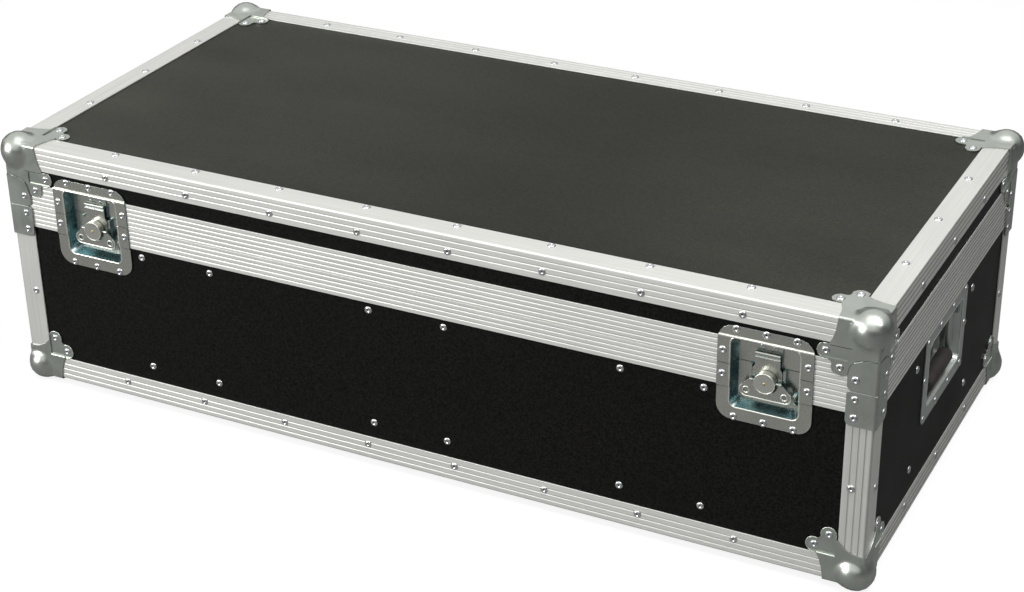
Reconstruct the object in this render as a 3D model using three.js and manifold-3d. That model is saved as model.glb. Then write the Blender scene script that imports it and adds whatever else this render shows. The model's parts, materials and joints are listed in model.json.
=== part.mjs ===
// A hard transport case: laminated plywood panels held in ribbed aluminium extrusions, with pressed
// steel ball corners, two recessed butterfly latches, two recessed bail handles and a rear-hinged lid.
// Millimetres, +Z up. X runs along the case, the latches face -Y, and the balls stand on z = 0.
import * as THREE from "three";
import { mergeVertices } from "three/addons/utils/BufferGeometryUtils.js";
import Module from "manifold-3d";

// Case, over its extrusions
const CASE_LENGTH = 1088;
const CASE_DEPTH = 520;
const CASE_HEIGHT = 314;
const LID_HEIGHT = 79.5;
const PANEL = 9;

// Fits
const PANEL_PLAY = 0.2;
const JOINT_GAP = 0.3;
const PLATE_FIT = 0.3;
const MERGE = 0.0001;

// Facets: half the chords of a quarter round, and the sides of round bars
const FINENESS = 3;
const TUB_FINENESS = 2;
const LOBE_FINENESS = 3;
const CREST_FINENESS = 2;
const FINE_SIDES = 24;
const MIDDLE_SIDES = 14;
const SMALL_SIDES = 10;

// Edge extrusions
const EDGE_WIDTH = 30;
const EDGE_INNER_SHORT = 4;
const EDGE_SHEET = 1.5;
const CREST_RADIUS = 2.5;
const GROOVE_DEPTH = 0.6;
const GROOVE_WIDTH = 1.7;
const EDGE_GROOVE_START = 7.5;
const EDGE_GROOVE_PITCH = 7.2;

// Closure rails
const BASE_RAIL_HEIGHT = 27;
const LID_RAIL_HEIGHT = 30.5;
const BASE_RAIL_WEB = 2;
const LID_RAIL_WEB = 5.5;
const RAIL_LIP = 4;
const RAIL_GROOVE_PITCH = 5.6;
const TONGUE_HEIGHT = 3;
const TONGUE_BASE = 4;
const TONGUE_TIP = 2;
const TONGUE_SIDE_PLAY = 1;
const TONGUE_END_PLAY = 1;

// Ball corners
const BALL_RADIUS = 22;
const BALL_INSET = 12;
const BALL_FACET_STEPS = 3;
const BALL_FLAT = 0.2;
const BALL_FILLET = 5.5;
const CAP_RADIUS = 31;
const HOLLOW_FACET_STEPS = 0;
const CORNER_SHEET = 1.3;
const CORNER_CREST = 3;
const CORNER_REACH = 44.5;
const POST_REACH = 38;
const LOBE_FAR = 56;
const LOBE_NEAR = 40;
const LOBE_RADIUS = 9.5;
const LOBE_ANGLE = (110 * Math.PI) / 180;
const WAIST = 49.5;
const FLANK = 46.5;
const FLANK_DEPTH = 22;
const STEP_MARGIN = 1.6;
const BLEND_SINK = 0.15;
const RAY_MERGE_SHARE = 0.001;
const BISECTION_STEPS = 40;

// Corner braces, on the lid's ball corners and at the head of each post
const BRACE_WIDTH = 31;
const BRACE_LENGTH = 40;
const BRACE_RAISE = 0.8;
const BRACE_CORNER = 7;
const BRACE_HEAD = 37.5;
const BRACE_SHOULDER = 17;

// Latches
const LATCH_GAP = 1;
const LATCH_WIDTH = 105;
const LATCH_MARGIN = 4.5;
const LATCH_BELOW = 66;
const LATCH_CORNER = 17;
const TUB_WIDTH = 77;
const TUB_RIM = 12.5;
const TUB_BELOW = 51.5;
const TUB_CORNER = 8;
const TUB_DRAFT = 5.5;
const LATCH_SHEET = 1.2;
const LATCH_DEPTH = 12.5;
const JOGGLE = 2;
const NOTCH_FIT = 0.6;
const DRUM_DROP = 15;
const DRUM_RADIUS = 12;
const DRUM_THICK = 8;
const DRUM_YOKE_PLAY = 0.6;
const BEARING_RADIUS = 9;
const BEARING_THICK = 1.4;
const CAM_RADIUS = 8;
const CAM_THROW = 3.5;
const CAM_PLAY = 1;
const YOKE_RISE = 5.3;
const YOKE_SHEET = 1.6;
const YOKE_HALF = 16.5;
const YOKE_BELOW = 14;
const YOKE_SHOULDER = 14;
const CLAW_HALF = 13.8;
const CLAW_SHORT = 11;
const CLAW_ROLL = 2.1;
const CLAW_BEAD = 1.3;
const CLAW_BEAD_DROP = 4.4;
const GUIDE_WIDTH = 3;
const GUIDE_PLAY = 0.5;
const GUIDE_RISE = 4.6;
const WING_EAR_X = 21;
const WING_EAR_DROP = 13.5;
const WING_EAR_RADIUS = 8;
const WING_ANGLE = (130 * Math.PI) / 180;
const WING_HOLE = 2.7;
const WING_SHEET = 1.5;
const WING_PLAY = 0.6;
const WING_SET = 2.8;
const KNUCKLE_RADIUS = 2.1;
const WING_ARM = 3.8;
const WING_PIN = 1.1;
const WING_PIN_PLAY = 0.3;
const STAPLE_X = 31.5;
const STAPLE_DROP = 16;
const STAPLE_RADIUS = 6.5;
const STAPLE_WIRE = 1.1;
const STAPLE_TILT = (-25 * Math.PI) / 180;
const STAPLE_TURNS = 2;
const STAPLE_PITCH = 2;
const STRIKE_HALF = 15;
const STRIKE_SHORT = 6.5;
const STRIKE_SHEET = 1.6;

// Handles
const HANDLE_WIDTH = 160;
const HANDLE_GAP = 0.5;
const HANDLE_TALL = 109;
const HANDLE_CORNER = 12;
const BOWL_WIDTH = 128;
const BOWL_RIM = 13;
const BOWL_TALL = 80;
const BOWL_CORNER = 9;
const BOWL_DEPTH = 20;
const BOWL_DRAFT = 6;
const BAIL_RADIUS = 4;
const BAIL_PIVOT_DROP = 10;
const GRIP_FLOOR_PLAY = 2.5;
const GRIP_FOOT_PLAY = 5.5;
const BAIL_CHEEK_PLAY = 1;
const BAIL_BEND = 6;
const BEND_STEPS = 3;
const BAIL_PIN_PLAY = 0.5;
const BEARING_SIDE = 3.5;
const BEARING_WIDTH = 7.5;
const BEARING_HALF = 7;
const BORE_PLAY = 0.35;
const GRIP_RADIUS = 9.5;
const GRIP_END_PLAY = 1;
const GRIP_ROUND = 2.5;
const GRIP_BORE_PLAY = 0.3;

// Hinges
const HINGE_INSET = 119;
const HINGE_WIDTH = 96;
const HINGE_LEAF = 24;
const HINGE_SHEET = 1.5;
const HINGE_CORNER = 6;
const HINGE_OUT = 5.4;
const HINGE_BARREL = 4;
const HINGE_PIN_RADIUS = 2;
const HINGE_BORE_PLAY = 0.25;
const HINGE_BARREL_GAP = 0.5;
const HINGE_MIDDLE_SHARE = 0.4;
const HINGE_PIN_HEAD = 1;
const HINGE_PIN_FLANGE = 3.2;

// Foam inside
const CRADLE_INSET = 234;
const CRADLE_WIDTH = 96;
const CRADLE_DROP = 22.5;
const CRADLE_GAP = 1;
const CRADLE_MIDDLE = 74;
const CRADLE_SIDE = 53;
const TROUGH_FLOOR = 60;
const CRADLE_EDGE = 10;
const LID_PAD = 22;
const LID_PAD_MARGIN = 20;
const LID_PAD_CORNER = 12;

// Derived from the above
const HALF_X = CASE_LENGTH / 2;
const HALF_Y = CASE_DEPTH / 2;
const PARTING_HEIGHT = CASE_HEIGHT - LID_HEIGHT;
const EDGE_INNER = EDGE_WIDTH - EDGE_INNER_SHORT;
const SLOT_END = EDGE_SHEET + PANEL + 2 * PANEL_PLAY;
const EDGE_BACK = SLOT_END + EDGE_SHEET;
const WALL_OUTER = EDGE_SHEET + PANEL_PLAY;
const WALL_INNER = WALL_OUTER + PANEL;
const BOARD_EDGE = EDGE_BACK + PANEL_PLAY;
const BALL_REACH = BALL_RADIUS - BALL_INSET;
const STAND = BALL_REACH - BALL_FLAT;
const LID_STRIP_END = LID_HEIGHT - LID_RAIL_HEIGHT;
const PARTING_LOW = PARTING_HEIGHT - JOINT_GAP / 2;
const PARTING_HIGH = PARTING_HEIGHT + JOINT_GAP / 2;
const YOKE_FRONT = LATCH_DEPTH - YOKE_RISE;
const DRUM_BACK = YOKE_FRONT - DRUM_YOKE_PLAY;
const DRUM_FACE = DRUM_BACK - DRUM_THICK;
const WING_DEPTH = DRUM_FACE + WING_SET + KNUCKLE_RADIUS;
const WING_INSIDE = Math.hypot(DRUM_RADIUS, WING_DEPTH - DRUM_FACE + WING_SHEET / 2) + WING_PLAY;
const WING_OUTSIDE = WING_INSIDE + WING_ARM;
const DRUM_HEIGHT = PARTING_HEIGHT - DRUM_DROP;
const LATCH_INSET = LOBE_FAR + LOBE_RADIUS + LATCH_GAP + LATCH_WIDTH / 2;
const LATCH_X = HALF_X - LATCH_INSET;
const HINGE_X = HALF_X - HINGE_INSET;
const LATCH_ABOVE = LID_HEIGHT - EDGE_WIDTH - LATCH_MARGIN;
const TUB_ABOVE = LATCH_ABOVE - TUB_RIM;
const STRIKE_TOP = DRUM_DROP + TUB_ABOVE - STRIKE_SHORT;
const CLAW_TOP = STRIKE_TOP - CLAW_SHORT;
const HANDLE_TOP = PARTING_HEIGHT - BASE_RAIL_HEIGHT - HANDLE_GAP;
const BOWL_TOP = HANDLE_TOP - BOWL_RIM;
const BOWL_BOTTOM = BOWL_TOP - BOWL_TALL;
const BAIL_PIVOT_DEPTH = BOWL_DEPTH - GRIP_RADIUS - GRIP_FLOOR_PLAY;
const BAIL_PIVOT_HEIGHT = BOWL_TOP - BAIL_PIVOT_DROP;
const BAIL_DROP = BOWL_TALL - BAIL_PIVOT_DROP - GRIP_RADIUS - GRIP_FOOT_PLAY;
const BEARING_END = BOWL_WIDTH / 2 - BEARING_SIDE;
const BEARING_START = BEARING_END - BEARING_WIDTH;
const BAIL_PIN_REACH = BEARING_END - BAIL_PIN_PLAY;
const BAIL_HALF = BEARING_START - BAIL_CHEEK_PLAY - BAIL_RADIUS;
const GRIP_HALF = BAIL_HALF - BAIL_BEND - GRIP_END_PLAY;
const MARGIN = BALL_RADIUS + BALL_REACH;

const wasm = await Module();
wasm.setup();

const FINISHES = {
  aluminium: { color: 0xc9c7c0, roughness: 0.42, metalness: 0.9 },
  zinc: { color: 0x9aa3a3, roughness: 0.32, metalness: 0.95 },
  laminate: { color: 0x1d1e1b, roughness: 0.55, metalness: 0 },
  rubber: { color: 0x1b1b1b, roughness: 0.8, metalness: 0 },
  foam: { color: 0x2c2d2f, roughness: 0.95, metalness: 0 },
};

// A closed geometry as a solid that can be cut and joined.
function solid(geometry) {
  const bare = geometry.clone();
  bare.deleteAttribute("normal");
  bare.deleteAttribute("uv");
  const merged = mergeVertices(bare, MERGE);
  const mesh = new wasm.Mesh({
    numProp: 3,
    vertProperties: merged.attributes.position.array,
    triVerts: merged.index.array,
  });
  return new wasm.Manifold(mesh);
}

function geometryOf(shape) {
  const mesh = shape.getMesh();
  const geometry = new THREE.BufferGeometry();
  geometry.setAttribute("position", new THREE.BufferAttribute(mesh.vertProperties, 3));
  geometry.setIndex(new THREE.BufferAttribute(mesh.triVerts, 1));
  geometry.computeVertexNormals();
  return geometry;
}

function piece(name, shape, finish) {
  const material = new THREE.MeshStandardMaterial(FINISHES[finish]);
  const mesh = new THREE.Mesh(geometryOf(shape), material);
  mesh.name = name;
  return mesh;
}

function joined(shapes) {
  return shapes.reduce((whole, shape) => whole.add(shape));
}

// A box between two limits on each axis.
function box(x, y, z) {
  const geometry = new THREE.BoxGeometry(x[1] - x[0], y[1] - y[0], z[1] - z[0]);
  geometry.translate((x[0] + x[1]) / 2, (y[0] + y[1]) / 2, (z[0] + z[1]) / 2);
  return solid(geometry);
}

// An outline pushed along an axis between two limits. Along X it is drawn in (y, z), along Y in
// (x, z), along Z in (x, y).
function prism(axis, outline, from, to, holes = [], fineness = FINENESS) {
  const shape = outline instanceof THREE.Shape ? outline : new THREE.Shape(outline);
  shape.holes = holes;
  const options = { depth: to - from, bevelEnabled: false, curveSegments: fineness };
  const geometry = new THREE.ExtrudeGeometry(shape, options);
  const turn = new THREE.Matrix4();
  if (axis === "x") {
    turn.set(0, 0, 1, from, 1, 0, 0, 0, 0, 1, 0, 0, 0, 0, 0, 1);
  } else if (axis === "y") {
    turn.set(1, 0, 0, 0, 0, 0, -1, to, 0, 1, 0, 0, 0, 0, 0, 1);
  } else {
    turn.makeTranslation(0, 0, from);
  }
  geometry.applyMatrix4(turn);
  return solid(geometry);
}

function roundedRect(left, right, low, high, radius) {
  const shape = new THREE.Shape();
  shape.absarc(right - radius, low + radius, radius, -Math.PI / 2, 0);
  shape.absarc(right - radius, high - radius, radius, 0, Math.PI / 2);
  shape.absarc(left + radius, high - radius, radius, Math.PI / 2, Math.PI);
  shape.absarc(left + radius, low + radius, radius, Math.PI, 1.5 * Math.PI);
  shape.closePath();
  return shape;
}

// A rounded block whose sides draw in by the draft from its mouth to its floor, along +Y. The
// outline is { left, right, low, high, radius } in X and Z, and the block is larger by the wall.
function drafted(outline, wall, mouth, floor, draft) {
  const { left, right, low, high, radius } = outline;
  const shape = roundedRect(left - wall, right + wall, low - wall, high + wall, radius + wall);
  const options = { depth: floor - mouth, bevelEnabled: false, curveSegments: TUB_FINENESS };
  const geometry = new THREE.ExtrudeGeometry(shape, options);
  const position = geometry.attributes.position;
  const centreX = (left + right) / 2;
  const centreZ = (low + high) / 2;
  for (let i = 0; i < position.count; i++) {
    const atFloor = position.getZ(i) < (floor - mouth) / 2;
    const drawX = atFloor ? 1 - (2 * draft) / (right - left) : 1;
    const drawZ = atFloor ? 1 - (2 * draft) / (high - low) : 1;
    const x = centreX + (position.getX(i) - centreX) * drawX;
    const z = centreZ + (position.getY(i) - centreZ) * drawZ;
    position.setXYZ(i, x, atFloor ? floor : mouth, z);
  }
  return solid(geometry);
}

// The hollow of a tub, drawn on past its mouth so that it opens through the flange.
function tubHollow(outline, mouth, floor, draft) {
  const { left, right, low, high, radius } = outline;
  const rim = roundedRect(left, right, low, high, radius);
  const over = prism("y", rim, mouth - floor, mouth, [], TUB_FINENESS);
  return drafted(outline, 0, mouth, floor, draft).add(over);
}

// A round bar along Y, or along X.
function bar(axis, radius, from, to, sides) {
  const geometry = new THREE.CylinderGeometry(radius, radius, to - from, sides);
  geometry.translate(0, (from + to) / 2, 0);
  if (axis === "x") {
    geometry.rotateZ(-Math.PI / 2);
  }
  return solid(geometry);
}

function evenPlaces(start, pitch, end) {
  const places = [];
  for (let place = start; place < end; place += pitch) {
    places.push(place);
  }
  return places;
}

// V grooves along a face, as outline points from one end of the face to the other.
function grooves(places, pointAt) {
  return places.flatMap((place) => [
    pointAt(place - GROOVE_WIDTH / 2, 0),
    pointAt(place, GROOVE_DEPTH),
    pointAt(place + GROOVE_WIDTH / 2, 0),
  ]);
}

// Section of an edge extrusion. The first coordinate is the depth behind its upright face and the
// second the depth behind its other face; the wall board slides in behind the first of them.
function edgeSection(ribbed) {
  const places = evenPlaces(EDGE_GROOVE_START, EDGE_GROOVE_PITCH, EDGE_INNER);
  const upright = grooves(places, (along, deep) => new THREE.Vector2(deep, along));
  const level = grooves(places, (along, deep) => new THREE.Vector2(along, deep));
  const shape = new THREE.Shape();
  shape.moveTo(EDGE_SHEET, EDGE_WIDTH);
  shape.lineTo(0, EDGE_WIDTH);
  if (ribbed === "upright") {
    upright.reverse().forEach((point) => shape.lineTo(point.x, point.y));
  }
  shape.absarc(CREST_RADIUS, CREST_RADIUS, CREST_RADIUS, Math.PI, 1.5 * Math.PI);
  if (ribbed === "level") {
    level.forEach((point) => shape.lineTo(point.x, point.y));
  }
  shape.lineTo(EDGE_WIDTH, 0);
  shape.lineTo(EDGE_WIDTH, EDGE_SHEET);
  shape.lineTo(EDGE_BACK, EDGE_SHEET);
  shape.lineTo(EDGE_BACK, SLOT_END);
  shape.lineTo(EDGE_INNER, SLOT_END);
  shape.lineTo(EDGE_INNER, EDGE_BACK);
  shape.lineTo(EDGE_BACK, EDGE_BACK);
  shape.lineTo(EDGE_BACK, EDGE_INNER);
  shape.lineTo(SLOT_END, EDGE_INNER);
  shape.lineTo(SLOT_END, EDGE_SHEET);
  shape.lineTo(EDGE_SHEET, EDGE_SHEET);
  shape.closePath();
  return shape;
}

// An edge extrusion along X, mitred at both ends, its outer corner on the X axis.
function mitredEdge(halfLength, ribbed) {
  const options = { depth: 1, bevelEnabled: false, curveSegments: CREST_FINENESS };
  const geometry = new THREE.ExtrudeGeometry(edgeSection(ribbed), options);
  const position = geometry.attributes.position;
  for (let i = 0; i < position.count; i++) {
    const inset = position.getX(i);
    const end = position.getZ(i) > 0.5 ? 1 : -1;
    const along = end * (halfLength - inset - JOINT_GAP / 2);
    position.setXYZ(i, along, inset, position.getY(i));
  }
  return solid(geometry);
}

function post(ribbed) {
  const low = EDGE_WIDTH + JOINT_GAP;
  const high = PARTING_HEIGHT - BASE_RAIL_HEIGHT - JOINT_GAP;
  return prism("z", edgeSection(ribbed), low, high);
}

// A closed section carried round the four sides of the case with mitred corners. It is a lathed
// ring of four sides, pulled out to the case's length and depth.
function mitredRing(section) {
  const points = section.map(([inset, height]) => new THREE.Vector2(HALF_X - inset, height));
  points.push(points[0].clone());
  const geometry = new THREE.LatheGeometry(points, 4, Math.PI / 4);
  geometry.rotateX(Math.PI / 2);
  const position = geometry.attributes.position;
  for (let i = 0; i < position.count; i++) {
    const x = position.getX(i);
    const y = position.getY(i);
    const inset = HALF_X - Math.hypot(x, y);
    position.setXYZ(i, Math.sign(x) * (HALF_X - inset), Math.sign(y) * (HALF_Y - inset), position.getZ(i));
  }
  return solid(geometry);
}

function railGrooves(start, high) {
  const places = evenPlaces(start, RAIL_GROOVE_PITCH, high - GROOVE_WIDTH);
  return grooves(places, (along, deep) => [deep, along]);
}

function baseRailSection() {
  const low = PARTING_HEIGHT - BASE_RAIL_HEIGHT;
  const middle = EDGE_BACK / 2;
  return [
    [0, low],
    ...railGrooves(low + RAIL_GROOVE_PITCH, PARTING_LOW),
    [0, PARTING_LOW],
    [middle - TONGUE_BASE / 2, PARTING_LOW],
    [middle - TONGUE_TIP / 2, PARTING_LOW + TONGUE_HEIGHT],
    [middle + TONGUE_TIP / 2, PARTING_LOW + TONGUE_HEIGHT],
    [middle + TONGUE_BASE / 2, PARTING_LOW],
    [EDGE_BACK, PARTING_LOW],
    [EDGE_BACK, low + RAIL_LIP],
    [SLOT_END, low + RAIL_LIP],
    [SLOT_END, PARTING_LOW - BASE_RAIL_WEB],
    [EDGE_SHEET, PARTING_LOW - BASE_RAIL_WEB],
    [EDGE_SHEET, low],
  ];
}

function lidRailSection() {
  const high = PARTING_HEIGHT + LID_RAIL_HEIGHT;
  const middle = EDGE_BACK / 2;
  const side = TONGUE_BASE / 2 + TONGUE_SIDE_PLAY;
  const ceiling = PARTING_HIGH + TONGUE_HEIGHT + TONGUE_END_PLAY;
  return [
    [0, PARTING_HIGH],
    ...railGrooves(PARTING_HIGH + RAIL_GROOVE_PITCH / 2, high),
    [0, high],
    [EDGE_SHEET, high],
    [EDGE_SHEET, PARTING_HIGH + LID_RAIL_WEB],
    [SLOT_END, PARTING_HIGH + LID_RAIL_WEB],
    [SLOT_END, high - RAIL_LIP],
    [EDGE_BACK, high - RAIL_LIP],
    [EDGE_BACK, PARTING_HIGH],
    [middle + side, PARTING_HIGH],
    [middle + side, ceiling],
    [middle - side, ceiling],
    [middle - side, PARTING_HIGH],
  ];
}

// Room for a latch tub in the front boards and rails, at either side of the middle.
function latchNotches(low, high, deep) {
  const half = TUB_WIDTH / 2 + LATCH_SHEET + NOTCH_FIT;
  const front = -HALF_Y - EDGE_SHEET;
  const cuts = [-1, 1].map((side) => {
    const centre = side * LATCH_X;
    return box([centre - half, centre + half], [front, -HALF_Y + deep], [low, high]);
  });
  return joined(cuts);
}

// The rails are sawn through for the latches: a straight length between them, and the rest, which
// runs from latch to latch round the sides and the back.
function closureRail(section, between) {
  const low = PARTING_HEIGHT - BASE_RAIL_HEIGHT - JOINT_GAP;
  const high = PARTING_HEIGHT + LID_RAIL_HEIGHT + JOINT_GAP;
  const sawn = mitredRing(section).subtract(latchNotches(low, high, EDGE_BACK + EDGE_SHEET));
  const length = box([-LATCH_X, LATCH_X], [-HALF_Y - EDGE_SHEET, -HALF_Y + EDGE_WIDTH], [low, high]);
  return between ? sawn.intersect(length) : sawn.subtract(length);
}

function frontPanel() {
  const half = HALF_X - BOARD_EDGE;
  const top = PARTING_LOW - BASE_RAIL_WEB - PANEL_PLAY;
  const board = box([-half, half], [-HALF_Y + WALL_OUTER, -HALF_Y + WALL_INNER], [WALL_OUTER, top]);
  const low = PARTING_HEIGHT - TUB_BELOW - LATCH_SHEET - NOTCH_FIT;
  return board.subtract(latchNotches(low, top + PANEL, WALL_INNER + PANEL));
}

function backPanel() {
  const half = HALF_X - BOARD_EDGE;
  const top = PARTING_LOW - BASE_RAIL_WEB - PANEL_PLAY;
  return box([-half, half], [HALF_Y - WALL_INNER, HALF_Y - WALL_OUTER], [WALL_OUTER, top]);
}

// A side board with its handle opening, its outer face towards -X.
function sidePanel() {
  const half = HALF_Y - WALL_OUTER;
  const top = PARTING_LOW - BASE_RAIL_WEB - PANEL_PLAY;
  const board = box([-HALF_X + WALL_OUTER, -HALF_X + WALL_INNER], [-half, half], [WALL_OUTER, top]);
  const room = LATCH_SHEET + NOTCH_FIT;
  const mouth = BOWL_WIDTH / 2 + room;
  const across = [-HALF_X, -HALF_X + WALL_INNER + PANEL];
  return board.subtract(box(across, [-mouth, mouth], [BOWL_BOTTOM - room, BOWL_TOP + room]));
}

function flatPanel(low) {
  const halfX = HALF_X - BOARD_EDGE;
  const halfY = HALF_Y - BOARD_EDGE;
  return box([-halfX, halfX], [-halfY, halfY], [low, low + PANEL]);
}

function lidWalls() {
  const low = PARTING_HIGH + LID_RAIL_WEB + PANEL_PLAY;
  const high = CASE_HEIGHT - WALL_OUTER;
  const section = [
    [WALL_OUTER, low],
    [WALL_OUTER, high],
    [WALL_INNER, high],
    [WALL_INNER, low],
  ];
  const top = PARTING_HEIGHT + TUB_ABOVE + LATCH_SHEET + NOTCH_FIT;
  return mitredRing(section).subtract(latchNotches(low - PANEL, top, WALL_INNER + PANEL));
}

// How far a point lies outside a solid octant with rounded edges: below zero is inside.
function outsideOctant(point, offset, round) {
  const out = [point.x, point.y, point.z].map((value) => round - offset - value);
  const clipped = out.map((value) => Math.max(value, 0));
  return Math.hypot(...clipped) + Math.min(Math.max(...out), 0) - round;
}

// The ball flowing into its plates: rays from the ball's centre end where a smooth union of the ball
// and the covered corner ends. Its plates lie a hair under the true ones, which cover its facets.
function blendedBall(offset) {
  const rays = new THREE.IcosahedronGeometry(1, BALL_FACET_STEPS);
  rays.deleteAttribute("normal");
  rays.deleteAttribute("uv");
  const geometry = mergeVertices(rays, RAY_MERGE_SHARE);
  const position = geometry.attributes.position;
  const centre = new THREE.Vector3(BALL_INSET, BALL_INSET, BALL_INSET);
  const direction = new THREE.Vector3();
  const point = new THREE.Vector3();
  for (let i = 0; i < position.count; i++) {
    direction.fromBufferAttribute(position, i).normalize();
    let near = 0;
    let far = CAP_RADIUS;
    for (let step = 0; step < BISECTION_STEPS; step++) {
      const reach = (near + far) / 2;
      point.copy(centre).addScaledVector(direction, reach);
      const ball = reach - BALL_RADIUS;
      const plates = outsideOctant(point, offset - BLEND_SINK, CORNER_CREST);
      const mix = Math.max(BALL_FILLET - Math.abs(ball - plates), 0) / BALL_FILLET;
      const outside = Math.min(ball, plates) - (mix * mix * BALL_FILLET) / 4;
      if (outside < 0) {
        near = reach;
      } else {
        far = reach;
      }
    }
    point.copy(centre).addScaledVector(direction, near);
    position.setXYZ(i, point.x, point.y, point.z);
  }
  return solid(geometry);
}

const OCTANT_SIZE = LOBE_FAR + LOBE_RADIUS + BRACE_LENGTH + MARGIN;

// The corner of the case grown outwards by the offset, with its three edges rounded.
function octant(offset, round) {
  const size = OCTANT_SIZE;
  const corner = round - offset;
  const section = new THREE.Shape();
  section.moveTo(size, -offset);
  section.lineTo(size, size);
  section.lineTo(-offset, size);
  section.absarc(corner, corner, round, Math.PI, 1.5 * Math.PI);
  section.closePath();
  const along = [
    prism("x", section, -offset, size, [], CREST_FINENESS),
    prism("y", section.clone(), -offset, size, [], CREST_FINENESS),
    prism("z", section.clone(), -offset, size, [], CREST_FINENESS),
  ];
  return along[0].intersect(along[1]).intersect(along[2]);
}

// Plate outline on a face of the corner: two riveted lobes with a waist between them.
function plateOutline(tail) {
  const shape = new THREE.Shape();
  shape.moveTo(-MARGIN, -MARGIN);
  shape.lineTo(CORNER_REACH, -MARGIN);
  shape.lineTo(CORNER_REACH, CORNER_CREST);
  const aside = LOBE_RADIUS * Math.sin(LOBE_ANGLE);
  const back = LOBE_RADIUS * Math.cos(LOBE_ANGLE);
  shape.quadraticCurveTo(FLANK, FLANK_DEPTH, LOBE_FAR + back, LOBE_NEAR - aside);
  shape.absarc(LOBE_FAR, LOBE_NEAR, LOBE_RADIUS, -LOBE_ANGLE, LOBE_ANGLE);
  shape.quadraticCurveTo(WAIST, WAIST, LOBE_NEAR + aside, LOBE_FAR + back);
  tail(shape, Math.PI / 2 - LOBE_ANGLE, Math.PI / 2 + LOBE_ANGLE);
  shape.closePath();
  return shape;
}

// Both lobes alike, as on the top and underside faces.
function levelTail(shape, start, end) {
  shape.absarc(LOBE_NEAR, LOBE_FAR, LOBE_RADIUS, start, end);
  shape.quadraticCurveTo(FLANK_DEPTH, FLANK, CORNER_CREST, CORNER_REACH);
  shape.lineTo(-MARGIN, CORNER_REACH);
}

// Cut away round the foot of a post.
function postTail(shape, start, end) {
  shape.absarc(LOBE_NEAR, LOBE_FAR, LOBE_RADIUS, start, end);
  shape.quadraticCurveTo(FLANK_DEPTH, POST_REACH, 0, POST_REACH);
  shape.lineTo(-MARGIN, POST_REACH);
}

// Carried down to the parting as a brace, on the lid.
function braceTail(shape, start) {
  const foot = CASE_HEIGHT - PARTING_HIGH;
  shape.absarc(LOBE_NEAR, LOBE_FAR, LOBE_RADIUS, start, (2 * Math.PI) / 3);
  shape.lineTo(BRACE_WIDTH, foot - BRACE_SHOULDER);
  shape.absarc(BRACE_WIDTH - BRACE_CORNER, foot - BRACE_CORNER, BRACE_CORNER, 0, Math.PI / 2);
  shape.lineTo(-MARGIN, foot);
}

// The raised part of the lid's brace, with its curved head.
function raisedOutline() {
  const foot = CASE_HEIGHT - PARTING_HIGH;
  const shape = new THREE.Shape();
  const head = foot - BRACE_HEAD;
  shape.moveTo(-MARGIN, head);
  shape.lineTo(0, head);
  shape.bezierCurveTo(BRACE_WIDTH / 2, head, BRACE_WIDTH, head, BRACE_WIDTH, foot - BRACE_SHOULDER);
  shape.absarc(BRACE_WIDTH - BRACE_CORNER, foot - BRACE_CORNER, BRACE_CORNER, 0, Math.PI / 2);
  shape.lineTo(-MARGIN, foot);
  shape.closePath();
  return shape;
}

// The brace at the head of a post, measured down from the parting.
function braceOutline() {
  const high = PARTING_LOW;
  const low = PARTING_LOW - BRACE_LENGTH;
  const shape = new THREE.Shape();
  shape.moveTo(-MARGIN, high);
  shape.lineTo(-MARGIN, low);
  shape.absarc(BRACE_WIDTH - BRACE_CORNER, low + BRACE_CORNER, BRACE_CORNER, -Math.PI / 2, 0);
  shape.absarc(BRACE_WIDTH - BRACE_CORNER / 2, high - BRACE_CORNER / 2, BRACE_CORNER / 2, 0, Math.PI / 2);
  shape.closePath();
  return shape;
}

// Prisms over the two upright faces of a corner, from an outline drawn as (along, up).
function overUprights(outline) {
  const skin = EDGE_SHEET + CORNER_SHEET;
  const over = (axis) => prism(axis, outline.clone(), -MARGIN, skin, [], LOBE_FINENESS);
  return over("y").add(over("x"));
}

// A pressed steel ball corner in its own frame: the case's corner is the origin and the case lies
// towards +X, +Y and +Z, where Z is measured away from the top or the underside.
function ballCorner(onLid) {
  const offset = PLATE_FIT + CORNER_SHEET;
  const far = LOBE_FAR + LOBE_RADIUS + MARGIN;
  const stepOut = EDGE_WIDTH + PLATE_FIT + STEP_MARGIN;
  const stepIn = EDGE_WIDTH + PLATE_FIT;
  // The lobes step down from the extrusions on to the boards.
  const lobeRooms = (start, drop) => {
    const range = [start, far];
    const down = [start, onLid ? LID_STRIP_END + EDGE_WIDTH - start : far];
    const skin = [-MARGIN, drop];
    return joined([box(range, range, skin), box(range, skin, down), box(skin, range, down)]);
  };
  const outer = octant(offset, CORNER_CREST).subtract(lobeRooms(stepOut, EDGE_SHEET - offset));
  const room = [-PLATE_FIT, OCTANT_SIZE];
  const inner = box(room, room, room);
  const core = inner.subtract(lobeRooms(stepIn, EDGE_SHEET - PLATE_FIT));
  const hollow = new THREE.IcosahedronGeometry(BALL_RADIUS - CORNER_SHEET, HOLLOW_FACET_STEPS);
  hollow.translate(BALL_INSET, BALL_INSET, BALL_INSET);
  const skin = EDGE_SHEET + CORNER_SHEET;
  const level = prism("z", plateOutline(levelTail), -MARGIN, skin, [], LOBE_FINENESS);
  const upright = overUprights(plateOutline(onLid ? braceTail : postTail));
  let corner = outer.add(blendedBall(offset)).intersect(level.add(upright));
  if (onLid) {
    const raised = octant(offset + BRACE_RAISE, CORNER_CREST + BRACE_RAISE);
    corner = corner.add(raised.intersect(overUprights(raisedOutline())));
  }
  corner = corner.subtract(core).subtract(solid(hollow));
  const wide = [-MARGIN, far];
  return corner.subtract(box(wide, wide, [-MARGIN, -STAND]));
}

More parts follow.
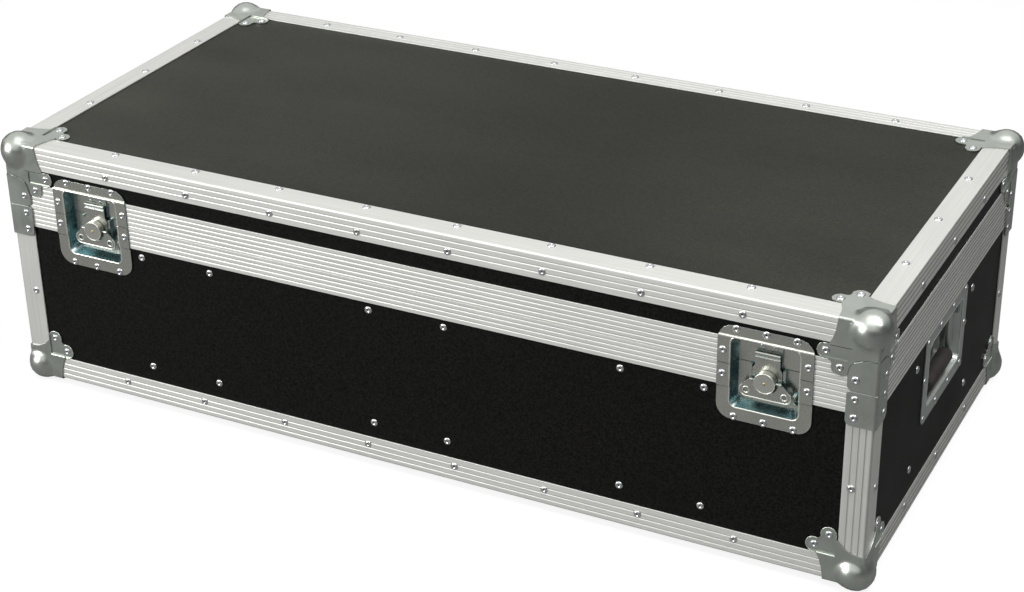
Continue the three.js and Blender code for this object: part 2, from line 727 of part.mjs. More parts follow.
// The plate that ties a post to the closure rail: x and y as in a ball corner, z from the underside.
function cornerBrace() {
  const skin = CORNER_SHEET + BRACE_RAISE;
  const offset = PLATE_FIT + skin;
  const round = CORNER_CREST + BRACE_RAISE;
  const reach = BRACE_WIDTH + MARGIN;
  const section = new THREE.Shape();
  section.moveTo(reach, -offset);
  section.lineTo(reach, reach);
  section.lineTo(-offset, reach);
  section.absarc(round - offset, round - offset, round, Math.PI, 1.5 * Math.PI);
  section.closePath();
  const outer = prism("z", section, 0, CASE_HEIGHT);
  const room = [-PLATE_FIT, reach + MARGIN];
  const shell = outer.subtract(box(room, room, [-MARGIN, CASE_HEIGHT + MARGIN]));
  return shell.intersect(overUprights(braceOutline()));
}

// Latch pieces stand in a frame of their own: X to the right, Y into the case from the extrusions'
// faces, Z up from the drum's axis.
const LATCH_TOP = DRUM_DROP + LATCH_ABOVE;
const LATCH_FOOT = DRUM_DROP - LATCH_BELOW;

// The flange's outer face, stepped in above and below the closure rails.
function latchFaceLine(shift) {
  const proud = -PLATE_FIT - LATCH_SHEET + shift;
  const sunk = proud + EDGE_SHEET;
  const railTop = DRUM_DROP + LID_RAIL_HEIGHT + PLATE_FIT + shift;
  const railFoot = DRUM_DROP - BASE_RAIL_HEIGHT - PLATE_FIT - shift;
  return [
    [sunk, LATCH_FOOT - LATCH_CORNER],
    [sunk, railFoot - JOGGLE],
    [proud, railFoot],
    [proud, railTop],
    [sunk, railTop + JOGGLE],
    [sunk, LATCH_TOP + LATCH_CORNER],
  ];
}

function behindLatchFace(shift) {
  const points = latchFaceLine(shift).map(([y, z]) => new THREE.Vector2(y, z));
  points.push(new THREE.Vector2(BOWL_DEPTH, LATCH_TOP + LATCH_CORNER));
  points.push(new THREE.Vector2(BOWL_DEPTH, LATCH_FOOT - LATCH_CORNER));
  return prism("x", points.reverse(), -LATCH_WIDTH, LATCH_WIDTH);
}

function latchPressing() {
  const half = TUB_WIDTH / 2;
  const outline = {
    left: -half,
    right: half,
    low: DRUM_DROP - TUB_BELOW,
    high: DRUM_DROP + TUB_ABOVE,
    radius: TUB_CORNER,
  };
  const rim = roundedRect(-LATCH_WIDTH / 2, LATCH_WIDTH / 2, LATCH_FOOT, LATCH_TOP, LATCH_CORNER);
  const face = behindLatchFace(0);
  const sheet = face.subtract(behindLatchFace(LATCH_SHEET));
  const flange = prism("y", rim, -LATCH_DEPTH, LATCH_DEPTH).intersect(sheet);
  const floor = LATCH_DEPTH + LATCH_SHEET;
  const outside = drafted(outline, LATCH_SHEET, -LATCH_SHEET, floor, TUB_DRAFT);
  const hollow = tubHollow(outline, -LATCH_SHEET, LATCH_DEPTH, TUB_DRAFT);
  return flange.add(outside.intersect(face)).subtract(hollow);
}

function belowParting() {
  const wide = [-LATCH_WIDTH, LATCH_WIDTH];
  return box(wide, wide, [LATCH_FOOT - LATCH_CORNER, DRUM_DROP - JOINT_GAP]);
}

function aboveParting() {
  const wide = [-LATCH_WIDTH, LATCH_WIDTH];
  return box(wide, wide, [DRUM_DROP + JOINT_GAP, LATCH_TOP + LATCH_CORNER]);
}

// The lower pressing with the yoke's guides and its padlock staple.
function latchDish() {
  const inside = YOKE_HALF + GUIDE_PLAY;
  const rise = [LATCH_DEPTH - GUIDE_RISE, LATCH_DEPTH + LATCH_SHEET / 2];
  const along = [-YOKE_BELOW, DRUM_DROP - 2 * JOINT_GAP];
  const guides = [
    box([-inside - GUIDE_WIDTH, -inside], rise, along),
    box([inside, inside + GUIDE_WIDTH], rise, along),
  ];
  return joined([latchPressing().intersect(belowParting()), ...guides, latchStaple()]);
}

// The turns of wire that a padlock goes through, standing in the lower pressing's floor.
function latchStaple() {
  const ring = new THREE.TorusGeometry(STAPLE_RADIUS, STAPLE_WIRE, SMALL_SIDES / 2, MIDDLE_SIDES);
  ring.rotateY(Math.PI / 2);
  const turns = Array.from({ length: STAPLE_TURNS }, (_, i) => {
    const turn = ring.clone();
    turn.translate(i * STAPLE_PITCH, 0, 0);
    turn.rotateZ(STAPLE_TILT);
    turn.translate(STAPLE_X, LATCH_DEPTH, -STAPLE_DROP);
    return solid(turn);
  });
  const floor = LATCH_DEPTH + LATCH_SHEET / 2;
  const room = [-LATCH_WIDTH, LATCH_WIDTH];
  return joined(turns).subtract(box(room, [floor, floor + BOWL_DEPTH], room));
}

// The upper pressing with its riveted strike.
function latchKeeper() {
  const strike = box(
    [-STRIKE_HALF, STRIKE_HALF],
    [LATCH_DEPTH - STRIKE_SHEET, LATCH_DEPTH + LATCH_SHEET / 2],
    [DRUM_DROP + JOINT_GAP, STRIKE_TOP],
  );
  return latchPressing().intersect(aboveParting()).add(strike);
}

// The turning drum: its cam lifts the yoke as it turns, and a pin across it carries the wing.
function latchRotor() {
  const seat = LATCH_DEPTH - PLATE_FIT;
  const drum = bar("y", DRUM_RADIUS, DRUM_FACE, DRUM_BACK, FINE_SIDES);
  const cam = bar("y", CAM_RADIUS, DRUM_BACK - WING_PLAY, seat - BEARING_THICK, MIDDLE_SIDES);
  const bearing = bar("y", BEARING_RADIUS, seat - 2 * BEARING_THICK, seat, MIDDLE_SIDES);
  const pin = bar("x", WING_PIN, -WING_OUTSIDE, WING_OUTSIDE, SMALL_SIDES);
  const parts = [drum, cam.translate([0, 0, -CAM_THROW]), bearing, pin.translate([0, WING_DEPTH, 0])];
  const knob = bar("y", WING_PIN + WING_PIN_PLAY, DRUM_FACE - PLATE_FIT, DRUM_FACE + PLATE_FIT, SMALL_SIDES);
  return joined([...parts, knob]);
}

// The yoke round the cam, drawn out upwards into a beaded and rolled claw that closes over the strike.
function latchHook() {
  const slotHalf = CAM_RADIUS + CAM_THROW + CAM_PLAY;
  const slotRadius = CAM_RADIUS + CAM_PLAY;
  const slot = new THREE.Path();
  slot.absarc(slotHalf - slotRadius, -CAM_THROW, slotRadius, -Math.PI / 2, Math.PI / 2);
  slot.absarc(slotRadius - slotHalf, -CAM_THROW, slotRadius, Math.PI / 2, 1.5 * Math.PI);
  const outline = new THREE.Shape();
  outline.moveTo(YOKE_HALF, -YOKE_BELOW);
  outline.lineTo(YOKE_HALF, YOKE_SHOULDER - CLAW_ROLL);
  outline.lineTo(CLAW_HALF, YOKE_SHOULDER + CLAW_ROLL);
  outline.lineTo(CLAW_HALF, CLAW_TOP);
  outline.lineTo(-CLAW_HALF, CLAW_TOP);
  outline.lineTo(-CLAW_HALF, YOKE_SHOULDER + CLAW_ROLL);
  outline.lineTo(-YOKE_HALF, YOKE_SHOULDER - CLAW_ROLL);
  outline.lineTo(-YOKE_HALF, -YOKE_BELOW);
  outline.closePath();
  const plate = prism("y", outline, YOKE_FRONT, YOKE_FRONT + YOKE_SHEET, [slot]);
  const roll = bar("x", CLAW_ROLL, -CLAW_HALF, CLAW_HALF, SMALL_SIDES);
  const bead = bar("x", CLAW_BEAD, -CLAW_HALF, CLAW_HALF, SMALL_SIDES);
  const middle = YOKE_FRONT + YOKE_SHEET / 2;
  const beadPlace = [0, YOKE_FRONT, CLAW_TOP - CLAW_BEAD_DROP];
  return joined([plate, roll.translate([0, middle, CLAW_TOP]), bead.translate(beadPlace)]);
}

// The butterfly wing, folded down round the drum, with a knuckle on each arm. Its opening is wide
// enough to swing out past the drum's face.
function latchWing() {
  const shape = new THREE.Shape();
  shape.moveTo(WING_OUTSIDE, 0);
  shape.lineTo(-WING_OUTSIDE, 0);
  shape.absarc(-WING_EAR_X, -WING_EAR_DROP, WING_EAR_RADIUS, WING_ANGLE, 1.5 * Math.PI);
  shape.absarc(WING_EAR_X, -WING_EAR_DROP, WING_EAR_RADIUS, -Math.PI / 2, Math.PI - WING_ANGLE);
  shape.closePath();
  const holes = [-1, 1].map((side) => {
    const hole = new THREE.Path();
    hole.absarc(side * WING_EAR_X, -WING_EAR_DROP, WING_HOLE, 0, Math.PI);
    hole.absarc(side * WING_EAR_X, -WING_EAR_DROP, WING_HOLE, Math.PI, 2 * Math.PI);
    return hole;
  });
  const plate = prism("y", shape, WING_DEPTH - WING_SHEET / 2, WING_DEPTH + WING_SHEET / 2, holes);
  const room = bar("y", WING_INSIDE, DRUM_FACE - DRUM_RADIUS, DRUM_BACK + DRUM_RADIUS, FINE_SIDES);
  const knuckles = [
    bar("x", KNUCKLE_RADIUS, -WING_OUTSIDE, -WING_INSIDE, SMALL_SIDES),
    bar("x", KNUCKLE_RADIUS, WING_INSIDE, WING_OUTSIDE, SMALL_SIDES),
  ];
  const bore = bar("x", WING_PIN + WING_PIN_PLAY, -2 * WING_OUTSIDE, 2 * WING_OUTSIDE, SMALL_SIDES);
  const place = [0, WING_DEPTH, 0];
  const wing = joined([plate.subtract(room), ...knuckles.map((knuckle) => knuckle.translate(place))]);
  return wing.subtract(bore.translate(place));
}

// Handle pieces stand in a frame of their own: X along the wall, Y into the case from the board's
// outer face, Z up from the underside of the extrusions.
function handleDish() {
  const half = HANDLE_WIDTH / 2;
  const outline = {
    left: -BOWL_WIDTH / 2,
    right: BOWL_WIDTH / 2,
    low: BOWL_BOTTOM,
    high: BOWL_TOP,
    radius: BOWL_CORNER,
  };
  const rim = roundedRect(-half, half, HANDLE_TOP - HANDLE_TALL, HANDLE_TOP, HANDLE_CORNER);
  const flange = prism("y", rim, -PLATE_FIT - LATCH_SHEET, -PLATE_FIT);
  const floor = BOWL_DEPTH + LATCH_SHEET;
  const outside = drafted(outline, LATCH_SHEET, -PLATE_FIT - LATCH_SHEET / 2, floor, BOWL_DRAFT);
  const hollow = tubHollow(outline, -PLATE_FIT - LATCH_SHEET / 2, BOWL_DEPTH, BOWL_DRAFT);
  const pressing = flange.add(outside).subtract(hollow);
  const lugs = [-1, 1].map((side) => {
    const across = [side * BEARING_START, side * BEARING_END].sort((a, b) => a - b);
    const depth = [BAIL_PIVOT_DEPTH - BEARING_HALF, floor - LATCH_SHEET / 2];
    return box(across, depth, [BAIL_PIVOT_HEIGHT - BEARING_HALF, BAIL_PIVOT_HEIGHT + BEARING_HALF]);
  });
  const bore = bar("x", BAIL_RADIUS + BORE_PLAY, -BAIL_PIN_REACH, BAIL_PIN_REACH, SMALL_SIDES);
  return joined([pressing, ...lugs]).subtract(bore.translate([0, BAIL_PIVOT_DEPTH, BAIL_PIVOT_HEIGHT]));
}

// A rod's centre line through chosen points, with a ring of the rod at each of them.
class RodLine extends THREE.Curve {
  constructor(points) {
    super();
    this.points = points;
  }

  getPoint(share, target = new THREE.Vector3()) {
    const place = share * (this.points.length - 1);
    const index = Math.min(Math.floor(place), this.points.length - 2);
    return target.lerpVectors(this.points[index], this.points[index + 1], place - index);
  }

  getPointAt(share, target) {
    return this.getPoint(share, target);
  }

  getTangentAt(share, target = new THREE.Vector3()) {
    const index = Math.round(share * (this.points.length - 1));
    const before = this.points[Math.max(index - 1, 0)];
    const after = this.points[Math.min(index + 1, this.points.length - 1)];
    return target.subVectors(after, before).normalize();
  }
}

// The bent steel bail: a pin into each bearing, two arms and a crossbar through the grip.
function handleBail() {
  const top = BAIL_PIVOT_HEIGHT;
  const low = BAIL_PIVOT_HEIGHT - BAIL_DROP;
  const depth = BAIL_PIVOT_DEPTH;
  const pin = BAIL_PIN_REACH - PLATE_FIT;
  const bend = BAIL_RADIUS + PLATE_FIT;
  const points = [new THREE.Vector3(-pin, depth, top)];
  const turn = (x, z, radius, start, end) => {
    for (let step = 0; step <= BEND_STEPS; step++) {
      const angle = start + ((end - start) * step) / BEND_STEPS;
      points.push(new THREE.Vector3(x + radius * Math.cos(angle), depth, z + radius * Math.sin(angle)));
    }
  };
  turn(-BAIL_HALF - bend, top - bend, bend, Math.PI / 2, 0);
  turn(BAIL_BEND - BAIL_HALF, low + BAIL_BEND, BAIL_BEND, -Math.PI, -Math.PI / 2);
  turn(BAIL_HALF - BAIL_BEND, low + BAIL_BEND, BAIL_BEND, -Math.PI / 2, 0);
  turn(BAIL_HALF + bend, top - bend, bend, Math.PI, Math.PI / 2);
  points.push(new THREE.Vector3(pin, depth, top));
  const round = new THREE.Shape();
  round.absarc(0, 0, BAIL_RADIUS, 0, 2 * Math.PI);
  const path = new RodLine(points);
  const options = { steps: points.length - 1, extrudePath: path, curveSegments: SMALL_SIDES / 2 };
  return solid(new THREE.ExtrudeGeometry(round, options));
}

function handleGrip() {
  const bore = BAIL_RADIUS + GRIP_BORE_PLAY;
  const shoulder = GRIP_RADIUS - GRIP_ROUND;
  const end = GRIP_HALF - GRIP_ROUND;
  const round = new THREE.Shape();
  round.moveTo(bore, -GRIP_HALF);
  round.lineTo(shoulder, -GRIP_HALF);
  round.absarc(shoulder, -end, GRIP_ROUND, -Math.PI / 2, 0);
  round.absarc(shoulder, end, GRIP_ROUND, 0, Math.PI / 2);
  round.lineTo(bore, GRIP_HALF);
  round.lineTo(bore, -GRIP_HALF);
  const points = round.getPoints(1);
  const geometry = new THREE.LatheGeometry(points, MIDDLE_SIDES);
  geometry.rotateZ(-Math.PI / 2);
  geometry.translate(0, BAIL_PIVOT_DEPTH, BAIL_PIVOT_HEIGHT - BAIL_DROP);
  return solid(geometry);
}

// Hinge pieces stand in a frame of their own: X along the pin, Y outwards from the rails' back face,
// Z up from the parting.
function barrelRun(from, to, upper) {
  const barrel = bar("x", HINGE_BARREL, from, to, SMALL_SIDES);
  const side = upper ? [0, HINGE_BARREL + HINGE_BARREL_GAP] : [-HINGE_BARREL - HINGE_BARREL_GAP, 0];
  const neck = box([from, to], [PLATE_FIT, HINGE_OUT - HINGE_PIN_RADIUS - HINGE_BORE_PLAY], side);
  const barrelAt = barrel.translate([0, HINGE_OUT, 0]);
  return barrelAt.add(neck);
}

function hingeLeaf(upper) {
  const half = HINGE_WIDTH / 2;
  const middle = (HINGE_MIDDLE_SHARE * HINGE_WIDTH) / 2;
  const near = HINGE_BARREL + HINGE_BARREL_GAP;
  const far = near + HINGE_LEAF - HINGE_BARREL;
  const square = HINGE_BARREL_GAP;
  const outline = new THREE.Shape();
  const flip = upper ? 1 : -1;
  outline.moveTo(-half, flip * (near - square));
  outline.lineTo(half, flip * (near - square));
  outline.lineTo(half, flip * (far - HINGE_CORNER));
  outline.quadraticCurveTo(half, flip * far, half - HINGE_CORNER, flip * far);
  outline.lineTo(HINGE_CORNER - half, flip * far);
  outline.quadraticCurveTo(-half, flip * far, -half, flip * (far - HINGE_CORNER));
  outline.closePath();
  const leaf = prism("y", outline, PLATE_FIT, PLATE_FIT + HINGE_SHEET);
  const runs = upper
    ? [[-middle + HINGE_BARREL_GAP, middle - HINGE_BARREL_GAP]]
    : [
        [-half, -middle],
        [middle, half],
      ];
  const barrels = runs.map(([from, to]) => barrelRun(from, to, upper));
  const plain = joined([leaf, ...barrels]);
  if (!upper) {
    return plain.add(hingePin());
  }
  const bore = bar("x", HINGE_PIN_RADIUS + HINGE_BORE_PLAY, -HINGE_WIDTH, HINGE_WIDTH, SMALL_SIDES);
  return plain.subtract(bore.translate([0, HINGE_OUT, 0]));
}

// The pin is staked in the lower leaf's barrels, with a head at either end.
function hingePin() {
  const half = HINGE_WIDTH / 2;
  const heads = [
    bar("x", HINGE_PIN_FLANGE, -half - HINGE_PIN_HEAD, -half, SMALL_SIDES),
    bar("x", HINGE_PIN_FLANGE, half, half + HINGE_PIN_HEAD, SMALL_SIDES),
  ];
  const pin = bar("x", HINGE_PIN_RADIUS, -half, half, SMALL_SIDES);
  return joined([pin, ...heads]).translate([0, HINGE_OUT, 0]);
}

// A foam cradle from wall to wall: two round-bottomed troughs between three ridges.
function foamCradle() {
  const half = HALF_Y - EDGE_BACK - CRADLE_GAP;
  const low = EDGE_BACK + PLATE_FIT;
  const top = PARTING_HEIGHT - CRADLE_DROP;
  const radius = (2 * (half - CRADLE_SIDE) - CRADLE_MIDDLE) / 4;
  const centreZ = TROUGH_FLOOR + radius;
  const shape = new THREE.Shape();
  shape.moveTo(-half, low);
  shape.lineTo(half, low);
  shape.lineTo(half, top - CRADLE_EDGE);
  shape.lineTo(half - CRADLE_EDGE, top);
  [1, -1].forEach((side) => {
    const centre = side * (CRADLE_MIDDLE / 2 + radius);
    shape.lineTo(centre + radius, top);
    shape.absarc(centre, centreZ, radius, 0, Math.PI, true);
    shape.lineTo(centre - radius, top);
  });
  shape.lineTo(CRADLE_EDGE - half, top);
  shape.lineTo(-half, top - CRADLE_EDGE);
  shape.closePath();
  return prism("x", shape, -CRADLE_WIDTH / 2, CRADLE_WIDTH / 2);
}

function lidPad() {
  const halfX = HALF_X - EDGE_BACK - LID_PAD_MARGIN;
  const halfY = HALF_Y - EDGE_BACK - LID_PAD_MARGIN;
  const high = CASE_HEIGHT - WALL_OUTER - PANEL - PANEL_PLAY;
  const outline = roundedRect(-halfX, halfX, -halfY, halfY, LID_PAD_CORNER);
  return prism("z", outline, high - LID_PAD, high);
}

// Assembly

const flightCase = new THREE.Group();
const base = new THREE.Group();
const lid = new THREE.Group();
base.position.z = STAND;
lid.position.z = STAND;
flightCase.add(base, lid);

const SIDES = {
  front: { place: [0, -HALF_Y], turn: 0, half: HALF_X },
  right: { place: [HALF_X, 0], turn: Math.PI / 2, half: HALF_Y },
  back: { place: [0, HALF_Y], turn: Math.PI, half: HALF_X },
  left: { place: [-HALF_X, 0], turn: -Math.PI / 2, half: HALF_Y },
};

const LID_RIBS = { front: "upright", right: "upright", back: "level", left: "upright" };

for (const [side, { place, turn, half }] of Object.entries(SIDES)) {
  const low = piece("base_edge_" + side, mitredEdge(half, "upright"), "aluminium");
  low.position.set(place[0], place[1], 0);
  low.rotation.z = turn;
  base.add(low);
  const high = piece("lid_edge_" + side, mitredEdge(half, LID_RIBS[side]), "aluminium");
  high.position.set(place[0], place[1], CASE_HEIGHT);
  high.rotation.z = turn;
  high.scale.z = -1;
  lid.add(high);
}

const CORNERS = {
  front_left: { x: -1, y: -1, ribbed: "upright" },
  front_right: { x: 1, y: -1, ribbed: "level" },
  back_left: { x: -1, y: 1, ribbed: "level" },
  back_right: { x: 1, y: 1, ribbed: "level" },
};

const baseCorner = ballCorner(false);
const lidCorner = ballCorner(true);
const brace = cornerBrace();
for (const [corner, { x, y, ribbed }] of Object.entries(CORNERS)) {
  const atCorner = (mesh, height, up) => {
    mesh.position.set(x * HALF_X, y * HALF_Y, height);
    mesh.scale.set(-x, -y, up);
    return mesh;
  };
  base.add(atCorner(piece("corner_post_" + corner, post(ribbed), "aluminium"), 0, 1));
  base.add(atCorner(piece("base_ball_corner_" + corner, baseCorner, "zinc"), 0, 1));
  base.add(atCorner(piece("corner_brace_" + corner, brace, "zinc"), 0, 1));
  lid.add(atCorner(piece("lid_ball_corner_" + corner, lidCorner, "zinc"), CASE_HEIGHT, -1));
}

base.add(piece("bottom_panel", flatPanel(WALL_OUTER), "laminate"));
base.add(piece("front_panel", frontPanel(), "laminate"));
base.add(piece("back_panel", backPanel(), "laminate"));
const leftPanel = piece("left_panel", sidePanel(), "laminate");
const rightPanel = piece("right_panel", sidePanel(), "laminate");
rightPanel.rotation.z = Math.PI;
base.add(leftPanel, rightPanel);
base.add(piece("base_closure_rail", closureRail(baseRailSection(), false), "aluminium"));
base.add(piece("base_front_rail", closureRail(baseRailSection(), true), "aluminium"));

lid.add(piece("top_panel", flatPanel(CASE_HEIGHT - WALL_OUTER - PANEL), "laminate"));
lid.add(piece("lid_walls", lidWalls(), "laminate"));
lid.add(piece("lid_closure_rail", closureRail(lidRailSection(), false), "aluminium"));
lid.add(piece("lid_front_rail", closureRail(lidRailSection(), true), "aluminium"));
lid.add(piece("lid_foam_pad", lidPad(), "foam"));

const dish = latchDish();
const keeper = latchKeeper();
const rotor = latchRotor();
const hook = latchHook();
const wing = latchWing();
for (const [hand, side] of [["left", -1], ["right", 1]]) {
  const atLatch = (mesh) => {
    mesh.position.set(side * LATCH_X, -HALF_Y, DRUM_HEIGHT);
    return mesh;
  };
  base.add(atLatch(piece("latch_dish_" + hand, dish, "zinc")));
  base.add(atLatch(piece("latch_rotor_" + hand, rotor, "zinc")));
  base.add(atLatch(piece("latch_hook_" + hand, hook, "zinc")));
  base.add(atLatch(piece("latch_wing_" + hand, wing, "zinc")));
  lid.add(atLatch(piece("latch_keeper_" + hand, keeper, "zinc")));

  const atHandle = (mesh) => {
    mesh.position.set(side * (HALF_X - WALL_OUTER), 0, 0);
    mesh.rotation.z = (side * Math.PI) / 2;
    return mesh;
  };
  base.add(atHandle(piece("handle_dish_" + hand, handleDish(), "zinc")));
  base.add(atHandle(piece("handle_bail_" + hand, handleBail(), "zinc")));
  base.add(atHandle(piece("handle_grip_" + hand, handleGrip(), "rubber")));

  const atHinge = (mesh) => {
    mesh.position.set(side * HINGE_X, HALF_Y, PARTING_HEIGHT);
    return mesh;
  };
  base.add(atHinge(piece("hinge_lower_leaf_" + hand, hingeLeaf(false), "zinc")));
  lid.add(atHinge(piece("hinge_upper_leaf_" + hand, hingeLeaf(true), "zinc")));
}

for (const [place, step] of [["left", -1], ["middle", 0], ["right", 1]]) {
  const cradle = piece("foam_cradle_" + place, foamCradle(), "foam");
  cradle.position.x = step * (HALF_X - CRADLE_INSET);
  base.add(cradle);
}

export default flightCase;
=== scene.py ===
"""Dresses the flight case: finishes, softened edges, rivets, foam and the stage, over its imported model."""

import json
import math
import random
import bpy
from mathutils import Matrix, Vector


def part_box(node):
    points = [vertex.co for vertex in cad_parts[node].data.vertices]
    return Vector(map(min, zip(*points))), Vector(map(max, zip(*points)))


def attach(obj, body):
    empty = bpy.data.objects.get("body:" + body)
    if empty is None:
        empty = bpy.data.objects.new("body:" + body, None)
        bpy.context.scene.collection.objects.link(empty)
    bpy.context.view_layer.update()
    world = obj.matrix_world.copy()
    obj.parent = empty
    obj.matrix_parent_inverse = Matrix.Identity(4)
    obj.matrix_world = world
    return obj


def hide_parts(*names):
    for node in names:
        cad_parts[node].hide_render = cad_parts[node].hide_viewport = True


bl_info = {
    "name": "Flight case looks",
    "version": (1, 0, 0),
    "blender": (4, 5, 0),
    "location": "View3D > Sidebar > Flight case",
    "description": "Finishes, rivets, foam and a plain stage for the packed flight case",
    "category": "Object",
}

import bmesh
import bpy
from bpy.props import FloatProperty, FloatVectorProperty, PointerProperty
from mathutils import Vector
from mathutils.bvhtree import BVHTree

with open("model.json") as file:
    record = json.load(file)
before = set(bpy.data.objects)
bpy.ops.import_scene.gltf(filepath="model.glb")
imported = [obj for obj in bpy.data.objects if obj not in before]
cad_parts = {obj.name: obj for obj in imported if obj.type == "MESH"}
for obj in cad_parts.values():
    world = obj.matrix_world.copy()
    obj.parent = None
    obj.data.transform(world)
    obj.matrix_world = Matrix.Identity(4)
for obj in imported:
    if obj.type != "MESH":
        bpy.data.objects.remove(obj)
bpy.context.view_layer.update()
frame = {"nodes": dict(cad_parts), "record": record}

NODES = frame["nodes"]
MM = 0.001
X, Y, Z = Vector((1, 0, 0)), Vector((0, 1, 0)), Vector((0, 0, 1))


def middle(node, axis):
    """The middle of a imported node's box along the axis of that letter."""
    low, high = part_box(node)
    return (getattr(low, axis) + getattr(high, axis)) / 2


# Planes and places of the case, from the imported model
HALF_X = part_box("lid_edge_right")[1].x
HALF_Y = -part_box("lid_edge_front")[0].y
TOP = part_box("lid_edge_front")[1].z
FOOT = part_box("base_edge_front")[0].z
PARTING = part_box("lid_front_rail")[0].z
LATCH_X = middle("latch_rotor_right", "x")
DRUM_Z = middle("latch_rotor_right", "z")
HINGE_X = middle("hinge_upper_leaf_right", "x")
HANDS = {"left": -1, "right": 1}

# How far the pressed plates stand off the extrusions, and how they step down on to the boards
PLATE_FACE = 1.6 * MM
STEP = 31.9 * MM
BOARD_STEP = 1.5 * MM

# How far in from the corner's edges a ball corner's lobes have their middles
LOBE_NEAR, LOBE_FAR = 40 * MM, 56 * MM

# Where the latches' flanges step out over the closure rails, from the drums' axis
FLANGE_LOW, FLANGE_HIGH, FLANGE_STEP = -12.3 * MM, 45.8 * MM, 2 * MM

# The height that each part's corners are measured from, and which way out of the case it lies
ENDS = {"lid": (TOP, 1), "base": (FOOT, -1)}
BOTH = (-1, 1)

# How far outside a surface a look at it starts
PROBE_HEIGHT = 30 * MM

# Faces that turn by less than this, in degrees, are shaded as one
SMOOTH_TURN = 32

# How many sides a bead has
BEAD_SIDES = 8


def linear(red, green, blue):
    """A colour written from 0 to 255, as a linear one."""
    def channel(value):
        share = value / 255
        return share / 12.92 if share <= 0.04045 else ((share + 0.055) / 1.055) ** 2.4

    return tuple(channel(value) for value in (red, green, blue))


def length(name, description, default):
    return FloatProperty(
        name=name, description=description, default=default, min=0, unit="LENGTH", precision=5
    )


def power(name, description, default):
    return FloatProperty(name=name, description=description, default=default, min=0, unit="POWER")


def portion(name, description, default):
    return FloatProperty(name=name, description=description, default=default, min=0, max=1)


def colour(name, description, default):
    return FloatVectorProperty(
        name=name, description=description, default=linear(*default), subtype="COLOR", min=0, max=1
    )


class FlightCaseSizes(bpy.types.PropertyGroup):
    """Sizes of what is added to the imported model."""

    rivet_head: length("Rivet head", "Radius of a pop rivet's head", 4.7 * MM)
    rivet_rise: length("Rivet rise", "Height of a pop rivet's dome", 1.6 * MM)
    rivet_dimple: length("Rivet dimple", "Radius of the dimple round the mandrel", 2.0 * MM)
    rivet_mandrel: length("Rivet mandrel", "Radius of the broken mandrel in the dimple", 1.0 * MM)
    lip: length("Lip", "Radius of the rolled edges of the recesses", 0.8 * MM)
    seam: length("Seam", "Radius of the dark line where plates overlap", 0.3 * MM)
    edge_round: length("Edge round", "Rounding of the extrusions' edges", 0.35 * MM)
    sheet_round: length("Sheet round", "Rounding of the pressed plates' edges", 0.22 * MM)
    foam_round: length("Foam round", "Rounding of the foam's cut edges", 4 * MM)
    foam_unevenness: length("Foam unevenness", "Depth of the foam's waves", 0.6 * MM)


class FlightCaseColours(bpy.types.PropertyGroup):
    """Colours of the finishes."""

    aluminium: colour("Aluminium", "Satin extrusions", (230, 230, 225))
    corner_zinc: colour("Corner zinc", "Plating of the ball corners and braces", (174, 179, 172))
    latch_zinc: colour("Latch zinc", "Bright plating of the latches", (188, 189, 181))
    handle_zinc: colour("Handle zinc", "Plating of the handles", (180, 185, 181))
    rivet_metal: colour("Rivet metal", "Heads of the pop rivets", (205, 206, 204))
    rivet_tint: colour("Rivet tint", "What the rivet metal clouds over to", (190, 194, 196))
    # Partly the mandrel's own steel, partly painted shade at the bottom of the rivet's dimple
    mandrel: colour("Mandrel", "Broken steel ends in the rivets", (52, 50, 47))
    board_film: colour("Board film", "Film on the plywood boards", (13, 13, 11))
    # Painted reflection: the teal tone that the recess's upright walls take
    latch_wall_reflection: colour("Latch walls", "Blue chromate that shows on the recess's walls", (118, 150, 154))
    # Painted shadow: the dark lines where plates overlap and step down
    seam: colour("Seam", "Grime where plates overlap", (52, 52, 49))
    brass: colour("Brass", "Pins in the latches' drums", (186, 168, 120))
    grip: colour("Grip", "Rubber of the handles' grips", (46, 42, 41))
    foam: colour("Foam", "Closed-cell foam", (44, 45, 48))


class FlightCaseStage(bpy.types.PropertyGroup):
    """Camera, lamps and floor."""

    camera_place: FloatVectorProperty(
        name="Camera place",
        description="Where the camera stands",
        default=(1.05318, -2.04693, 1.318),
        subtype="TRANSLATION",
    )
    camera_turn: FloatVectorProperty(
        name="Camera turn",
        description="The camera's rotation",
        default=(math.radians(62.371), math.radians(0.849), math.radians(26.753)),
        subtype="EULER",
    )
    lens: FloatProperty(
        name="Lens",
        description="Focal length on a 36 mm sensor",
        default=74.089,
        min=1,
        subtype="DISTANCE_CAMERA",
    )
    key_power: power("Key lamp", "Power of the soft lamp at the front left", 240)
    side_power: power("Side lamp", "Power of the soft lamp high at the right", 31)
    ceiling_power: power("Ceiling", "Power of the wide lamp overhead", 35)
    sky: portion("Sky", "Strength of the even light from all round", 0.2)
    floor_grey: portion("Floor grey", "How much light the floor sends back", 0.25)
    floor_grey_right: portion("Floor grey, right", "The same at the right of the case", 0.16)
    floor_radius: length("Floor radius", "Radius of the floor and backdrop", 9.0)


# Meshes


def new_object(name, mesh_or_curve):
    made = bpy.data.objects.new(name, mesh_or_curve)
    bpy.context.scene.collection.objects.link(made)
    return made


def from_bmesh(name, builder, materials):
    mesh = bpy.data.meshes.new(name)
    builder.to_mesh(mesh)
    builder.free()
    for material in materials:
        mesh.materials.append(material)
    return new_object(name, mesh)


def mark_smooth(builder, sharp_from):
    """Smooth faces, with sharp edges where they turn by more than that many degrees."""
    for face in builder.faces:
        face.smooth = True
    for edge in builder.edges:
        if edge.is_manifold and edge.calc_face_angle(0) > math.radians(sharp_from):
            edge.smooth = False


def turns_round(sides):
    """The angles of the corners of a regular form."""
    return [2 * math.pi * step / sides for step in range(sides)]


